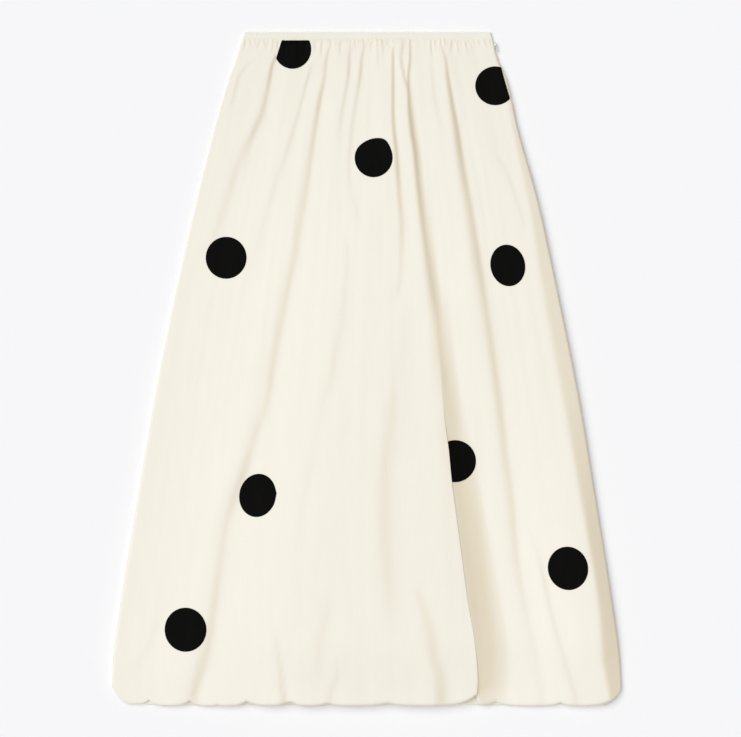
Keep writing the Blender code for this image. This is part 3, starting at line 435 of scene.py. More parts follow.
def tuck_creases(x, y, tucks):
    """Depth of the creases that run up from the hem's tucks."""
    return sum(tuck.depth * (1 - smoothstep((y - HEM_Y) / tuck.crease)) * notch((x - tuck.x) / TUCK_CREASE)
               for tuck in tucks)


def gathers(x, y):
    """How far the gathers sink the cloth: each is a small step that leans, widens, and dies away at its
    reach. The cloth puffs up beside the seam, and fine crinkles fade out below it, seeded cosines."""
    below = WAIST_Y - y
    down_from_seam = np.maximum(below, 0)
    sunk = -WAIST_PUFF * np.exp(-down_from_seam / WAIST_PUFF_LENGTH)
    for gather in GATHERS:
        down = np.clip(below / gather.reach, 0, 1)
        width = gather.width * (1 + down)
        steep = GATHER_STRENGTH * gather.steep * (1 - smoothstep(down))
        steep = steep * (0.6 + 0.4 * smoothstep(below / 3))
        sunk = sunk + step_down(x - gather.x - gather.lean * down, steep, width, 3 * width)
    rng = np.random.default_rng(3)
    crinkle = 0
    for wave in (2.9, 3.7, 4.6, 5.9, 7.3):
        bend, phase, long, reach = rng.uniform((0.8, 0, 2.5, 4), (2.2, 6.28, 6, 11))
        swing = np.cos(2 * math.pi * x / wave + phase + bend * np.sin(y / long + x / 13))
        crinkle = crinkle + swing * np.exp(-down_from_seam / reach)
    return sunk + size("crinkle") * crinkle * (0.6 + 0.4 * np.sin(x / 17 + 1))


def ripples(x, y):
    """Soft unevenness that fans out with the cloth: a seeded sum of cosines, uneven along its length."""
    place = share_across(x, y)
    rng = np.random.default_rng(11)
    height = 0
    for waves in (5, 7, 9, 12, 15, 19, 23, 28, 34, 41):
        bend, phase, long, start = rng.uniform((0.25, 0, 90, 0), (0.7, 6.28, 260, 6.28))
        swing = np.cos(math.pi * waves * place + phase + bend * waves * 0.15 * np.sin(y / long + start))
        height = height + (9 / waves) ** 0.9 * swing * (0.5 + 0.5 * np.sin(y / (0.6 * long) + phase))
    return size("ripple") * height


def fold_depth(x, y):
    """How far the folds, gathers, the brow's drop and the hem's tucks sink the front."""
    sunk = 0
    for fold in FOLDS:
        steep = through(FOLD_STRENGTH, y) * through(fold.steep, y)
        width = through(FOLD_WIDTH, y) * through(fold.width, y)
        t = x - through(fold.path, y)
        width = width * np.where(t < 0, fold.skew, 2 - fold.skew)
        sunk = sunk + step_down(t, steep, width, FOLD_SPREAD * fold.spread)
    brow = brow_size(y)
    t, _, drop = brow_turn(x, y)
    past = np.maximum(t - brow.length / 2, 0)
    before = np.minimum(t + brow.length / 2, 0)
    roll = BROW_ROLL * smoothstep(brow.down / 2) * np.exp(before / BROW_ROLL_WIDTH)
    sunk = sunk + (drop + roll) * np.exp(-(past / BROW_EASE) ** 2)
    return sunk + tuck_creases(x, y, TUCKS) + gathers(x, y) - ripples(x, y)


def lower_sheet(x, y):
    """How far the sheet to the right of the main fold lies below the rest: it falls away as
    1 - (1 - v)^LOWER_POWER over its width, and then comes up slowly towards the right shoulder."""
    foot = through(BROW_PATH, y) + brow_size(y).length / 2
    past = np.maximum(x - foot - brow_cover(y), 0)
    fall, width, left_over = (through(table, y) for table in (LOWER_FALL, LOWER_WIDTH, LOWER_LEFT_OVER))
    at = section(y)
    rest = at.right - at.reach - foot - width
    falling = 1 - (1 - np.clip(past / width, 0, 1)) ** LOWER_POWER
    return fall * falling - (fall - left_over) * smoothstep((past - width) / rest)


def brow_size(y):
    """The main fold at y: its turn in radians, its straight run, the length of cloth in it, and how far
    across and down the whole of it comes."""
    angle, run = np.radians(through(BROW_ANGLE, y)), through(BROW_RUN, y)
    return BrowSize(angle, run, 2 * BROW_RADIUS * angle + run,
                    2 * BROW_RADIUS * np.sin(angle) + run * np.cos(angle),
                    2 * BROW_RADIUS * (1 - np.cos(angle)) + run * np.sin(angle))


def brow_turn(x, y):
    """Arc, straight run and arc of the main fold: the distance along the cloth from the fold's middle,
    and the place across and the drop that this comes to."""
    brow = brow_size(y)
    sine, cosine = np.sin(brow.angle), np.cos(brow.angle)
    arc = BROW_RADIUS * brow.angle
    t = x - through(BROW_PATH, y)
    gone = t + brow.length / 2
    first = np.clip(gone, 0, arc) / BROW_RADIUS
    straight = np.clip(gone - arc, 0, brow.run)
    last = brow.angle - np.clip(gone - arc - brow.run, 0, arc) / BROW_RADIUS
    place = (np.minimum(gone, 0) + BROW_RADIUS * np.sin(first) + straight * cosine
             + BROW_RADIUS * (sine - np.sin(last)) + np.maximum(gone - brow.length, 0))
    drop = BROW_RADIUS * (1 - np.cos(first)) + straight * sine + BROW_RADIUS * (np.cos(last) - cosine)
    return t, place - brow.across / 2, drop


def brow_cover(y):
    """How far the brow hangs over the place where the cloth comes out of its last turn."""
    return np.maximum(BROW_RADIUS - brow_size(y).across, 0)


def brow_shift(x, y):
    """Sideways shift that doubles the cloth back under the brow."""
    t, place, _ = brow_turn(x, y)
    return (place - t) * np.exp(-(t / SHIFT_EASE) ** 4)


def split_allowance(column):
    """A column kept between the side seams, and how far it runs on behind them."""
    return np.clip(column, 0, 1), np.where(column < 0, column, np.maximum(column - 1, 0))


def side_turn(column):
    """How far a column has gone round its shoulder, from 0 on top to 1 at the side seam."""
    return np.clip(1 - column / GUIDES[0], 0, 1) + np.clip((column - GUIDES[-1]) / (1 - GUIDES[-1]), 0, 1)


def hem_roll(row):
    """Angle of the hem's roll, cloth gone up inside, and 0 to 1 for how far it is tucked under."""
    turned = math.pi * np.clip(row - 1, 0, 1)
    return turned, size("turn_in") * np.clip(row - 2, 0, 1), (1 - np.cos(turned)) / 2


def side_height(inset, rise, y, side):
    """Height over the side seam at a distance in from the edge: a quarter ellipse up from the seam, then
    on the right a straight slope, rounded into the level top."""
    slope = np.where(side < 0, 0, through(RIGHT_SLOPE, y))
    jump = np.maximum(rise - slope * through(RIGHT_SLOPE_WIDTH, y), EDGE_LEAST_JUMP * rise)
    edge = np.minimum(np.where(side < 0, LEFT_EDGE_WIDTH, RIGHT_EDGE_WIDTH), EDGE_MOST * rise)

    def climb(distance):
        free = jump * quarter_round(distance / edge) + slope * distance
        return soft_least(rise, free, EDGE_ROUNDING * rise)

    start = climb(0)
    return (climb(inset) - start) * rise / (climb(section(y).reach) - start)


def front_surface(column, row):
    """Outer face of the front: a level top with a crown, its side edges, and the folds sunk into it.

    The top sinks towards its left edge and towards the hem. Past row 1 it rolls through half an oval,
    and past row 2 it runs back up inside, level. Columns below 0 and above 1 run on inwards, level,
    behind the side seam, and rows below 0 run on up behind the waistband.
    """
    column, allowance = split_allowance(column)
    turned, inside, tucked = hem_roll(row)
    behind_band = np.clip(-row, 0, 1)
    turn = side_turn(column)
    side = np.sign(column - 0.5)
    inset_share = (1 - turn) ** 2

    hem = section(HEM_Y + 0 * column)
    hem_x = np.where(turn > 0, side * (np.where(side < 0, hem.left, hem.right) - hem.reach * inset_share),
                     across(column, hem.y))
    roll_start = SIDE_ROLL + (half_roll(hem) - SIDE_ROLL) * (1 - turn ** 2)
    hem_start = hem_outline(hem_x, TUCKS) + roll_start
    y = WAIST_Y + (hem_start - WAIST_Y) * np.clip(row, 0, 1) + inside + WAIST_TUCK * behind_band

    at = section(y)
    x = across(column, y)
    flat_half = np.where(x < 0, at.left, at.right) - at.reach
    crown = (1 - np.clip(x / flat_half, -1, 1) ** 2) ** 2
    dip = HEM_DIP * smoothstep((HEM_Y + HEM_DIP_LENGTH - y) / HEM_DIP_LENGTH)
    top = at.shoulder + at.crown * crown - lower_sheet(x, y) - dip
    left_sink = (LEFT_SINK * smoothstep((WAIST_Y - y) / LEFT_SINK_START)
                 * (1 - smoothstep((x + at.left) / LEFT_SINK_WIDTH)))
    top = top - left_sink * (top - at.seam)
    top = top + (INNER_HEIGHT - top) * tucked
    seam = at.seam + (np.minimum(at.seam, INNER_HEIGHT - INNER_CLEAR) - at.seam) * tucked
    reach = at.reach + (INNER_REACH - at.reach) * tucked
    edge = np.where(side < 0, at.left, at.right) - 2 * SIDE_ROLL * tucked
    x = np.where(turn > 0, side * (edge - reach * inset_share), x * (1 - INNER_DRAW_IN * tucked))
    rise = top - seam
    z = seam + np.where(turn > 0, side_height(at.reach * inset_share, rise, y, side), rise)
    fade = inset_share * (1 - tucked)
    z = z - fade * fold_depth(x, y) - WAIST_TUCK_DROP * behind_band
    x = x + fade * brow_shift(x, y) - allowance
    return np.stack([x, y - roll_start * np.abs(np.sin(turned)) ** HEM_SQUARE, z], axis=-1)


def half_roll(at):
    """Radius of the front's roll in the middle: half the height that its two layers leave free."""
    return (at.shoulder + at.crown - HEM_DIP - at.seam - MOUTH_GAP - MOUTH_SWELL) / 2


def back_surface(column, row):
    """Outer face of the back: level on the floor, curling up in a quarter round at each side.

    Long shallow creases, pressed flat by the cloth's weight, are sunk up into its level part.
    """
    column, allowance = split_allowance(column)
    turned, inside, tucked = hem_roll(row)
    side = np.sign(column - 0.5)
    turn = side_turn(column)
    spread = np.clip((column - GUIDES[0]) / (1 - 2 * GUIDES[0]), 0, 1)

    def plan(y, roll):
        at = section(y)
        rise = at.seam * (1 - roll) + MOUTH_GAP * roll
        reach = at.seam * (1 - roll) + INNER_REACH * roll
        sine, cosine = shoulder(turn, rise)
        left = at.left - 2 * SIDE_ROLL * roll
        right = at.right - 2 * SIDE_ROLL * roll
        flat = (reach - left) + (left + right - 2 * reach) * spread
        x = np.where(turn > 0, side * (np.where(side < 0, left, right) - reach * (1 - sine)), flat)
        return x, at.seam - rise * cosine

    hem_x, _ = plan(HEM_Y + 0 * column, 0)
    set_in = BACK_SET_IN * (1 - (2 * column - 1) ** 12)
    hem_start = hem_outline(hem_x, BACK_TUCKS) + set_in * (1 - turn) + SIDE_ROLL
    y = WAIST_Y + (hem_start - WAIST_Y) * np.clip(row, 0, 1) + inside
    x, z = plan(y, tucked)
    lift = BACK_LIFT * (1 - turn) * (1 - tucked)
    pressed = (1 - turn) ** 2 * (1 - tucked) * pressed_creases(x, y)
    return np.stack([x - allowance, y - SIDE_ROLL * np.sin(turned), z + lift + pressed], axis=-1)


def pressed_creases(x, y):
    """Height of the back's pressed creases: gathers at the waist, and a fan of long shallow ones."""
    place = share_across(x, y)
    below = WAIST_Y - y
    rng = np.random.default_rng(5)
    height = 0.8 * np.exp(-below / 2.5)
    for k in range(34):
        start = -0.96 + 1.92 * (k + rng.uniform(0.2, 0.8)) / 34
        reach, depth, lean = rng.uniform((24, 0.5, -0.02), (70, 1.1, 0.02))
        t = (place - start - lean * below / reach) * 175 / (2.0 + 1.4 * np.clip(below / reach, 0, 1))
        height = height + depth * (1 - smoothstep(below / reach)) * notch(t)
    for k in range(9):
        start = -0.85 + 1.7 * (k + rng.uniform(0.2, 0.8)) / 9
        top, end, depth, bend = rng.uniform((20, 420, 0.8, -0.05), (160, 900, 1.9, 0.05))
        along = smoothstep((below - top) / 140) * (1 - smoothstep((below - end) / 160))
        t = (place - start - bend * np.sin(below / 190)) * 260 / 8
        height = height + depth * along * notch(t)
    return height + tuck_creases(x, y, BACK_TUCKS)


def normals(surface, column, row, outward):
    """Unit normals of a surface: the cross product of its slopes along its two parameters."""
    step = 1e-4
    along = surface(column + step, row) - surface(column - step, row)
    down = surface(column, row + step) - surface(column, row - step)
    normal = outward * np.cross(down, along)
    return normal / np.maximum(np.linalg.norm(normal, axis=-1, keepdims=True), 1e-12)


def spaced(*stretches):
    """Even marks through stretches of (end, steps), each starting where the last one ends."""
    marks = [np.array([stretches[0][0]], float)]
    for end, steps in stretches[1:]:
        marks.append(np.linspace(marks[-1][-1], end, steps + 1)[1:])
    return np.concatenate(marks)


def front_grid():
    """Columns and rows of the front: each row is close round the shoulders and the brow's arcs."""
    y_rows = spaced((WAIST_Y, 0), (430, 24), (330, 30), (-400, 176), (ROLL_Y, 30))
    rows = np.concatenate([[-1, -0.5], row_at(y_rows), 1 + np.arange(1, 15) / 14, [2.3, 3]])
    y = WAIST_Y - PANEL_LENGTH * np.clip(rows, 0, 1)[:, None]
    brow = brow_size(y)
    arcs = np.linspace(0, 1, 9) ** 2.3 * np.maximum(BROW_RADIUS * brow.angle, BROW_GRID) + brow.run / 2
    right_half = np.hstack([arcs, arcs[:, -1:] + np.linspace(0, 1, 5)[1:] * BROW_BESIDE])
    run = np.linspace(-1, 1, 5)[1:-1] * brow.run / 2
    near_brow = np.hstack([-right_half[:, ::-1], run, right_half]) + through(BROW_PATH, y)
    near_brow = column_at(near_brow, y)
    left_part = GUIDES[0] + (near_brow[:, :1] - GUIDES[0]) * np.linspace(0, 1, 133)[:-1]
    right_part = near_brow[:, -1:] + (GUIDES[-1] - near_brow[:, -1:]) * np.linspace(0, 1, 75)[1:]
    left_side = spaced((-size("allowance"), 0), (0, 2), (GUIDES[0], 18))[:-1]
    ends = [np.tile(side, (len(rows), 1)) for side in (left_side, 1 - left_side[::-1])]
    columns = np.hstack([ends[0], left_part, near_brow, right_part, ends[1]])
    return columns, np.broadcast_to(rows[:, None], columns.shape)


def back_grid():
    """Columns and rows of the back: close round the side seams, the waist and the hem."""
    side = spaced((-size("allowance"), 0), (0, 2), (GUIDES[0], 9))
    columns = np.concatenate([side, spaced((GUIDES[0], 0), (1 - GUIDES[0], 230))[1:-1], 1 - side[::-1]])
    y_rows = spaced((WAIST_Y, 0), (430, 18), (330, 20), (-420, 110), (ROLL_Y, 14))
    rows = np.concatenate([row_at(y_rows), 1 + np.arange(1, 11) / 10, [3]])
    return np.meshgrid(columns, rows)


def cloth_lengths(points):
    """UV of a grid of points, in metres: length of cloth across from the middle, and down it."""
    steps = np.linalg.norm(np.diff(points, axis=1), axis=-1)
    u = np.pad(np.cumsum(steps, axis=1), ((0, 0), (1, 0)))
    middle = points.shape[1] // 2
    u = u - u[:, middle:middle + 1] + points[:, middle:middle + 1, 0]
    down = np.linalg.norm(np.diff(points[:, middle], axis=0), axis=-1)
    v = np.pad(np.cumsum(down), (1, 0))
    return np.stack([u, np.broadcast_to(-v[:, None], u.shape)], axis=-1) * MM


def grid_faces(rows, columns, closed=False):
    """Four-cornered faces of a grid of points, its last column joined to its first if closed."""
    index = np.arange(rows * columns).reshape(rows, columns)
    if closed:
        index = np.hstack([index, index[:, :1]])
    corners = (index[:-1, :-1], index[1:, :-1], index[1:, 1:], index[:-1, 1:])
    return np.stack([c.ravel() for c in corners], axis=1)


def new_piece(name, points, faces, material, uv=None, flip=False, painted_shade_amount=None):
    """A smooth-shaded mesh object from points in millimetres, with an optional UV and painted shade for
    each.
    """
    points = np.asarray(points, float).reshape(-1, 3) * MM
    faces = [face[::-1] for face in faces] if flip else faces
    mesh = bpy.data.meshes.new(name)
    mesh.from_pydata(points, [], [list(map(int, face)) for face in faces])
    if uv is not None:
        corners = np.empty(len(mesh.loops), np.int32)
        mesh.loops.foreach_get("vertex_index", corners)
        layer = mesh.uv_layers.new(name="cloth")
        layer.data.foreach_set("uv", uv.reshape(-1, 2)[corners].astype(np.float32).ravel())
    if painted_shade_amount is not None:
        tone = mesh.attributes.new("warmth", "FLOAT", "POINT")
        tone.data.foreach_set("value", painted_shade_amount.astype(np.float32).ravel())
    mesh.shade_smooth()
    mesh.update()
    mesh.validate()
    mesh.materials.append(material)
    piece = bpy.data.objects.new(name, mesh)
    bpy.context.scene.collection.objects.link(piece)
    return piece


def sheet_piece(name, surface, grid, outward, material):
    """A panel's cloth as a piece: its surface on a grid of columns and rows."""
    points = surface(*grid)
    faces = grid_faces(*points.shape[:2])
    # painted shade for the front only: darker and yellower where it leans away from the main light and
    # beside the brow
    painted_shade_amount = warmth(points, normals(surface, *grid, outward)) if outward > 0 else None
    return new_piece(name, points, faces, material, cloth_lengths(points), outward < 0, painted_shade_amount)


def warmth(points, normal):
    """How much painted shade, darker and yellower, stands in for light off other cloth: it grows as the
    cloth leans to the right, away from the main light, and is full on the sheet close to the brow."""
    x, y = points[..., 0], points[..., 1]
    past = x - through(BROW_PATH, y) - brow_cover(y) / 2 - BROW_RADIUS / 2
    under = (1 - smoothstep(past / through(LOWER_WIDTH, y))) * smoothstep(brow_cover(y) / 3)
    under = PAINTED_SHADE_UNDER * under
    return np.clip(normal[..., 0] / PAINTED_SHADE_LEAN, 0, 1 - under) + under * smoothstep((past + 1) / 2)


def dot_radius(dot, angle):
    """Radius of a dot's outline at an angle: an ellipse, tilted, pulled to a point, and cut off."""
    own = angle - math.radians(dot.tilt)
    radius = 1 / np.hypot(np.cos(own) / dot.across, np.sin(own) / dot.along)
    if dot.pulled:
        radius = radius * (1 + 0.09 * np.exp(-((angle - math.radians(58)) / 0.36) ** 2)
                           - 0.06 * np.exp(-((angle - math.radians(118)) / 0.5) ** 2))
    cuts = [dot.cut] if dot.cut else []
    if dot.y + dot.along > WAIST_Y:
        cuts.append(Cut(dot.x, WAIST_Y + 0.25, 90))
    for cut in cuts:
        facing = math.radians(cut.facing)
        away = (cut.x - dot.x) * math.cos(facing) + (cut.y - dot.y) * math.sin(facing)
        toward = np.cos(angle - facing)
        limit = np.where(toward > 0.05, away / np.maximum(toward, 0.05), np.inf)
        radius = np.minimum(radius, limit)
    return radius


def settle(surface, x, y, column, row):
    """Columns and rows whose points lie at x and y: each is moved by what it misses, a few times."""
    for _ in range(14):
        point = surface(column, row)
        wide = section(y).left + section(y).right
        column = column + (x - point[..., 0]) / wide * 0.8
        row = row - (y - point[..., 1]) / PANEL_LENGTH
    return column, row


def patch(name, dot, surface, outward, height, material):
    """A round patch: rings from its middle to its rim, laid on a panel's surface, its edge rounded off.

    One on the front has a sunk line of stitches inside its rim, and shallow wrinkles of its own.
    """
    inward = np.array([3.4, 2.8, 2.4, 2.0, 1.6, 1.1, 0.7, 0.35, 0.05, 0])
    radius = dot_radius(dot, PATCH_ANGLES)
    rings = np.vstack([np.linspace(0.04, 0.86, 15)[:, None] * radius, radius - inward[:, None]])
    depth_in = radius - rings
    x, y = dot.x + rings * np.cos(PATCH_ANGLES), dot.y + rings * np.sin(PATCH_ANGLES)
    start = column_at(x - (14 if dot.lower else 0), y) + (0.035 if dot.lower else 0)
    column, row = settle(surface, x, y, start, row_at(y))
    base = surface(column, row)
    normal = normals(surface, column, row, outward)
    over = height * quarter_round(depth_in / PATCH_EDGE)
    if outward > 0:
        stitch = np.exp(-((depth_in - 2.0) / 0.35) ** 2) * (0.7 + 0.3 * np.cos(44 * PATCH_ANGLES))
        over = over - 0.16 * stitch + patch_wrinkles(dot, x, y) * np.clip(depth_in / 6, 0, 1)
    points = base + normal * over[..., None]
    rim = base[-1] - normal[-1] * 0.4
    all_points = np.vstack([points.reshape(-1, 3), rim, points[0].mean(axis=0)[None]])
    turns, last = len(PATCH_ANGLES), len(all_points) - 1
    faces = [list(face) for face in grid_faces(len(rings) + 1, turns, closed=True)]
    faces += [[last, k, (k + 1) % turns] for k in range(turns)]
    uv = np.vstack([np.stack([x, y], axis=-1).reshape(-1, 2), np.stack([x[-1], y[-1]], axis=-1),
                    [[dot.x, dot.y]]]) * MM
    return new_piece(name, all_points, faces, material, uv, flip=outward < 0)


def patch_wrinkles(dot, x, y):
    """Shallow wrinkles of a patch: four seeded waves of different directions."""
    rng = np.random.default_rng(int(abs(dot.x) * 7 + abs(dot.y)))
    height = 0
    for _ in range(4):
        way, length, phase, tall = rng.uniform((0.9, 9, 0, 0.05), (2.2, 24, 6.28, 0.16))
        along = (x * math.cos(way) + y * math.sin(way)) / length
        crosswise = (y * math.cos(way) - x * math.sin(way)) / (2.5 * length)
        height = height + tall * np.cos(along * 2 * math.pi + phase + np.sin(crosswise * 4 + phase))
    return height


def band_points(front):
    """Half of the waistband: a closed rounded loop, upright in Y and Z, carried along the waist.

    The loop's outer side follows the flattened section at the waist, and its thickness is set in
    along the section's own normal.
    """
    column = spaced((0, 0), (GUIDES[0], 10), (GUIDES[-1], 220))
    column = np.concatenate([column[:-1], 1 - spaced((0, 0), (1 - GUIDES[-1], 10))[::-1]])
    waist = section(WAIST_Y)
    rise, reach = (waist.shoulder - waist.seam, waist.reach) if front else (waist.seam, waist.seam)
    turn = side_turn(column)
    sine, cosine = shoulder(turn, rise)
    outward = cosine if front else -cosine
    side = np.sign(column - 0.5)
    edge = np.where(column < 0.5, waist.left, waist.right)
    flat = between(column, (GUIDES[0], GUIDES[-1]), (reach - waist.left, waist.right - reach))
    x = np.where(turn > 0, side * (edge - reach * (1 - sine)), flat)[:, None]
    z = (waist.seam + rise * outward)[:, None]
    normal = np.stack([side * sine, outward], axis=1)
    normal = normal / np.linalg.norm(normal, axis=1, keepdims=True)

    corner = np.linspace(0, math.pi / 2, 5)
    up = np.concatenate([np.linspace(BAND_Y + BAND_ROUNDING, TOP_Y - BAND_ROUNDING, BAND_ROWS + 1)[:-1],
                         TOP_Y - BAND_ROUNDING + BAND_ROUNDING * np.sin(corner)])
    out = np.concatenate([np.zeros(BAND_ROWS), -BAND_ROUNDING * (1 - np.cos(corner))])
    loop_y = np.concatenate([up, up[::-1], [BAND_Y, BAND_Y]])[None]
    loop_out = np.concatenate([out, -BAND_CLOTH - out[::-1], [BAND_ROUNDING - BAND_CLOTH, -BAND_ROUNDING]])
    at = section(loop_y)
    scale = np.where(x < 0, at.left / waist.left, at.right / waist.right)
    out = loop_out + waistband_puckers(x, loop_y) * (loop_out > -BAND_CLOTH / 2)
    px = x * scale + normal[:, :1] * out
    return np.stack([px, np.broadcast_to(loop_y, px.shape), z + normal[:, 1:] * out], axis=-1)


def waistband_puckers(x, y):
    """Relief of the band's face: drawn in at each gather along its lower edge and along the line of
    stitches near its upper one, with long soft ridges."""
    sunk = sum(3 * gather.steep * notch((x - gather.x) / 2.2) for gather in GATHERS)
    stitches = 0.4 * np.exp(-((y - TOP_Y + 3.6) / 0.6) ** 2) * (0.6 + 0.4 * np.sin(x / 37))
    ridges = 0.1 * (np.sin(x / 9 + np.sin(x / 31)) * np.sin(y / 2.5 + x / 23) - 1)
    return ridges - stitches - 0.28 * sunk * np.exp(-(y - BAND_Y) / 3)


def closed_tube(name, points, material, flip=False):
    """A loop carried along a path, closed at both ends by a fan to the loop's middle."""
    stations, loop = points.shape[:2]
    flat = points.reshape(-1, 3)
    ends = points[[0, -1]].mean(axis=1)
    faces = [list(face) for face in grid_faces(stations, loop, closed=True)]
    first, last = len(flat), len(flat) + 1
    start = (stations - 1) * loop
    faces += [[first, k, (k + 1) % loop] for k in range(loop)]
    faces += [[last, start + (k + 1) % loop, start + k] for k in range(loop)]
    uv = np.vstack([flat[:, :2], ends[:, :2]]) * MM
    return new_piece(name, np.vstack([flat, ends]), faces, material, uv, flip=flip)


def feed(tree, target, values):
    """Gives a node's inputs, by name or number, a value or a link from a socket."""
    for key, value in values.items():
        if isinstance(value, bpy.types.NodeSocket):
            tree.links.new(value, target.inputs[key])
        else:
            target.inputs[key].default_value = value


def node(tree, kind, output, values, **settings):
    """One output of a new shader node with its settings and its inputs."""
    made = tree.nodes.new("ShaderNode" + kind)
    for key, value in settings.items():
        setattr(made, key, value)
    feed(tree, made, values)
    return made.outputs[output]


def mix(tree, factor, first, second, blend_type="MIX"):
    """Two colours mixed, or the first multiplied by the second, by a factor."""
    return node(tree, "Mix", 2, {0: factor, 6: first, 7: second}, data_type="RGBA", blend_type=blend_type)


def new_material(name):
    """A material, its node tree and its shader."""
    material = bpy.data.materials.new(name)
    material.use_nodes = True
    return material, material.node_tree, material.node_tree.nodes["Principled BSDF"]


def cloth_material(name, colour, tint, roughness, sheen, specular, bump, streak, weave):
    """Woven cloth: base colour with slubs along its length, a fine weave, and bump from both.

    Slubs are noise stretched along the cloth's V, the weave is the product of two waves along U and V.
    The colour carries painted shade: darker and yellower where a per-point attribute says so, and darker
    towards the waist.
    """
    _, tree, shader = new_material(name)
    uv = node(tree, "UVMap", "UV", {}, uv_map="cloth")
    stretch = node(tree, "Mapping", 0, {0: uv, "Scale": (430, 34, 1), "Rotation": (0, 0, 0.03)})
    slub = node(tree, "TexNoise", "Fac", {"Vector": stretch, "Scale": 1, "Detail": 3, "Roughness": 0.62},
                noise_dimensions="2D")
    stretch = node(tree, "Mapping", 0, {0: uv, "Scale": (70, 16, 1), "Location": (3, 5, 0)})
    wide = node(tree, "TexNoise", "Fac", {"Vector": stretch, "Scale": 1, "Detail": 2},
                noise_dimensions="2D")
    half = node(tree, "Math", 0, {0: wide, 1: 0.5}, operation="MULTIPLY")
    both = node(tree, "Math", 0, {0: slub, 1: 0.5, 2: half}, operation="MULTIPLY_ADD")
    shade = node(tree, "MapRange", 0, {"Value": both, "From Min": 0.5 - streak, "From Max": 0.5 + streak})
    base = mix(tree, shade, (*tint, 1), (*colour, 1))
    place = node(tree, "TexCoord", "Object", {})
    height = node(tree, "SeparateXYZ", "Y", {0: place})
    # painted shade: the cream darkens towards the waist, among the gathers
    close = node(tree, "MapRange", 0, {"Value": height, "From Min": WAIST_SHADE_FROM, "From Max": WAIST_SHADE_TO},
                 interpolation_type="SMOOTHSTEP")
    base = mix(tree, close, base, (*WAIST_SHADE_TONE, 1), "MULTIPLY")
    # painted shade, darker and yellower, by the per-point attribute
    painted_shade_amount = node(tree, "Attribute", "Fac", {}, attribute_name="warmth")
    base = mix(tree, painted_shade_amount, base, (*PAINTED_SHADE_TONE, 1), "MULTIPLY")

    threads = [node(tree, "TexWave", "Fac", {"Vector": uv, "Scale": weave, "Distortion": 0.6, "Detail": 1},
                    wave_type="BANDS", bands_direction=way) for way in "XY"]
    crossing = node(tree, "Math", 0, {0: threads[0], 1: threads[1]}, operation="MULTIPLY")
    fine = node(tree, "Bump", 0, {"Height": crossing, "Strength": 0.25 * bump, "Distance": 0.0002})
    coarse = node(tree, "Bump", 0, {"Height": slub, "Strength": bump, "Distance": 0.0003, "Normal": fine})
    feed(tree, shader, {"Base Color": base, "Normal": coarse, "Roughness": roughness, "Sheen Weight": sheen,
                        "Sheen Roughness": 0.5, "Specular IOR Level": specular})


def metal_material(name, colour):
    """Enamelled zip metal: fine speckle in the colour and a soft gloss."""
    _, tree, shader = new_material(name)
    place = node(tree, "TexCoord", "Object", {})
    speckle = node(tree, "TexNoise", "Fac", {"Vector": place, "Scale": 900, "Detail": 2})
    base = mix(tree, speckle, (*[0.75 * c for c in colour], 1), (*colour, 1))
    feed(tree, shader, {"Base Color": base, "Roughness": 0.32, "Metallic": 0.15})


def floor_material(colour):
    """Matt pale paper."""
    material, tree, shader = new_material("pale_floor")
    feed(tree, shader, {"Base Color": (*colour, 1), "Roughness": 1, "Specular IOR Level": 0})
    return material


def colour(name, description, default):
    """A colour among the settings."""
    return bpy.props.FloatVectorProperty(name=name, description=description, default=default,
                                         subtype="COLOR", size=3, min=0, max=1)


def distance(name, description, default, least=0):
    """A length among the settings, in metres."""
    return bpy.props.FloatProperty(name=name, description=description, default=default, min=least,
                                   subtype="DISTANCE", unit="LENGTH", precision=5)


class SkirtSizes(bpy.types.PropertyGroup):
    turn_in: distance("Turn-in", "Cloth that runs back up inside from the hem", 0.05)
    allowance: distance("Seam allowance", "Cloth that turns in behind each side seam", 0.005)
    ripple: distance("Ripples", "Height of the soft unevenness of the whole front", 0.00015)
    crinkle: distance("Crinkles", "Height of the fine crinkles among the gathers", 0.00027)
    patch: distance("Patch height", "Top of a front patch over the panel", 0.0011)


class SkirtCloth(bpy.types.PropertyGroup):
    cream: colour("Cream", "Colour of the skirt's cloth", (0.889, 0.859, 0.769))
    cream_slub: colour("Slub", "Colour of the cloth between its slubs", (0.848, 0.813, 0.711))
    black: colour("Black", "Colour of the round patches", (0.0046, 0.0043, 0.0039))
    enamel: colour("Enamel", "Colour of the zip's slider and pull", (0.70, 0.68, 0.63))


class SkirtStage(bpy.types.PropertyGroup):
    floor: colour("Floor", "Colour of the floor", (0.90, 0.90, 0.915))
    sun: bpy.props.FloatProperty(
        name="Main light", description="Strength of the main light", min=0, default=2.375)
    fill: bpy.props.FloatProperty(
        name="Fill light", description="Strength of the light from all round", min=0, default=0.341)
    scale: distance("Scale", "Size that one pixel of the view covers on the skirt", 0.0014, 0.0001)


def materials():
    """The cloths and the enamel, made once."""
    look = bpy.context.scene.skirt_cloth
    made = bpy.data.materials
    if "cream_cloth_fine" not in made:
        cloth_material("cream_cloth_fine", look.cream, look.cream_slub, roughness=0.72, sheen=0.12,
                       specular=0.25, bump=0.4, streak=0.5, weave=330)
        cloth_material("black_cloth_fine", look.black, [0.6 * c for c in look.black], roughness=0.7,
                       sheen=0, specular=0.03, bump=0.5, streak=0.3, weave=420)
        metal_material("zip_enamel_fine", look.enamel)
    return made["cream_cloth_fine"], made["black_cloth_fine"], made["zip_enamel_fine"]


class SKIRT_OT_front(bpy.types.Operator):
    """Add the front's cloth, gathered at the waist, folded and rolled under at the hem"""
    bl_idname = "skirt.front"
    bl_label = "Front"

    def execute(self, context):
        cream, _, _ = materials()
        piece = sheet_piece("front_cloth", front_surface, front_grid(), 1, cream)
        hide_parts("front_panel")
        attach(piece, "skirt")
        return {"FINISHED"}


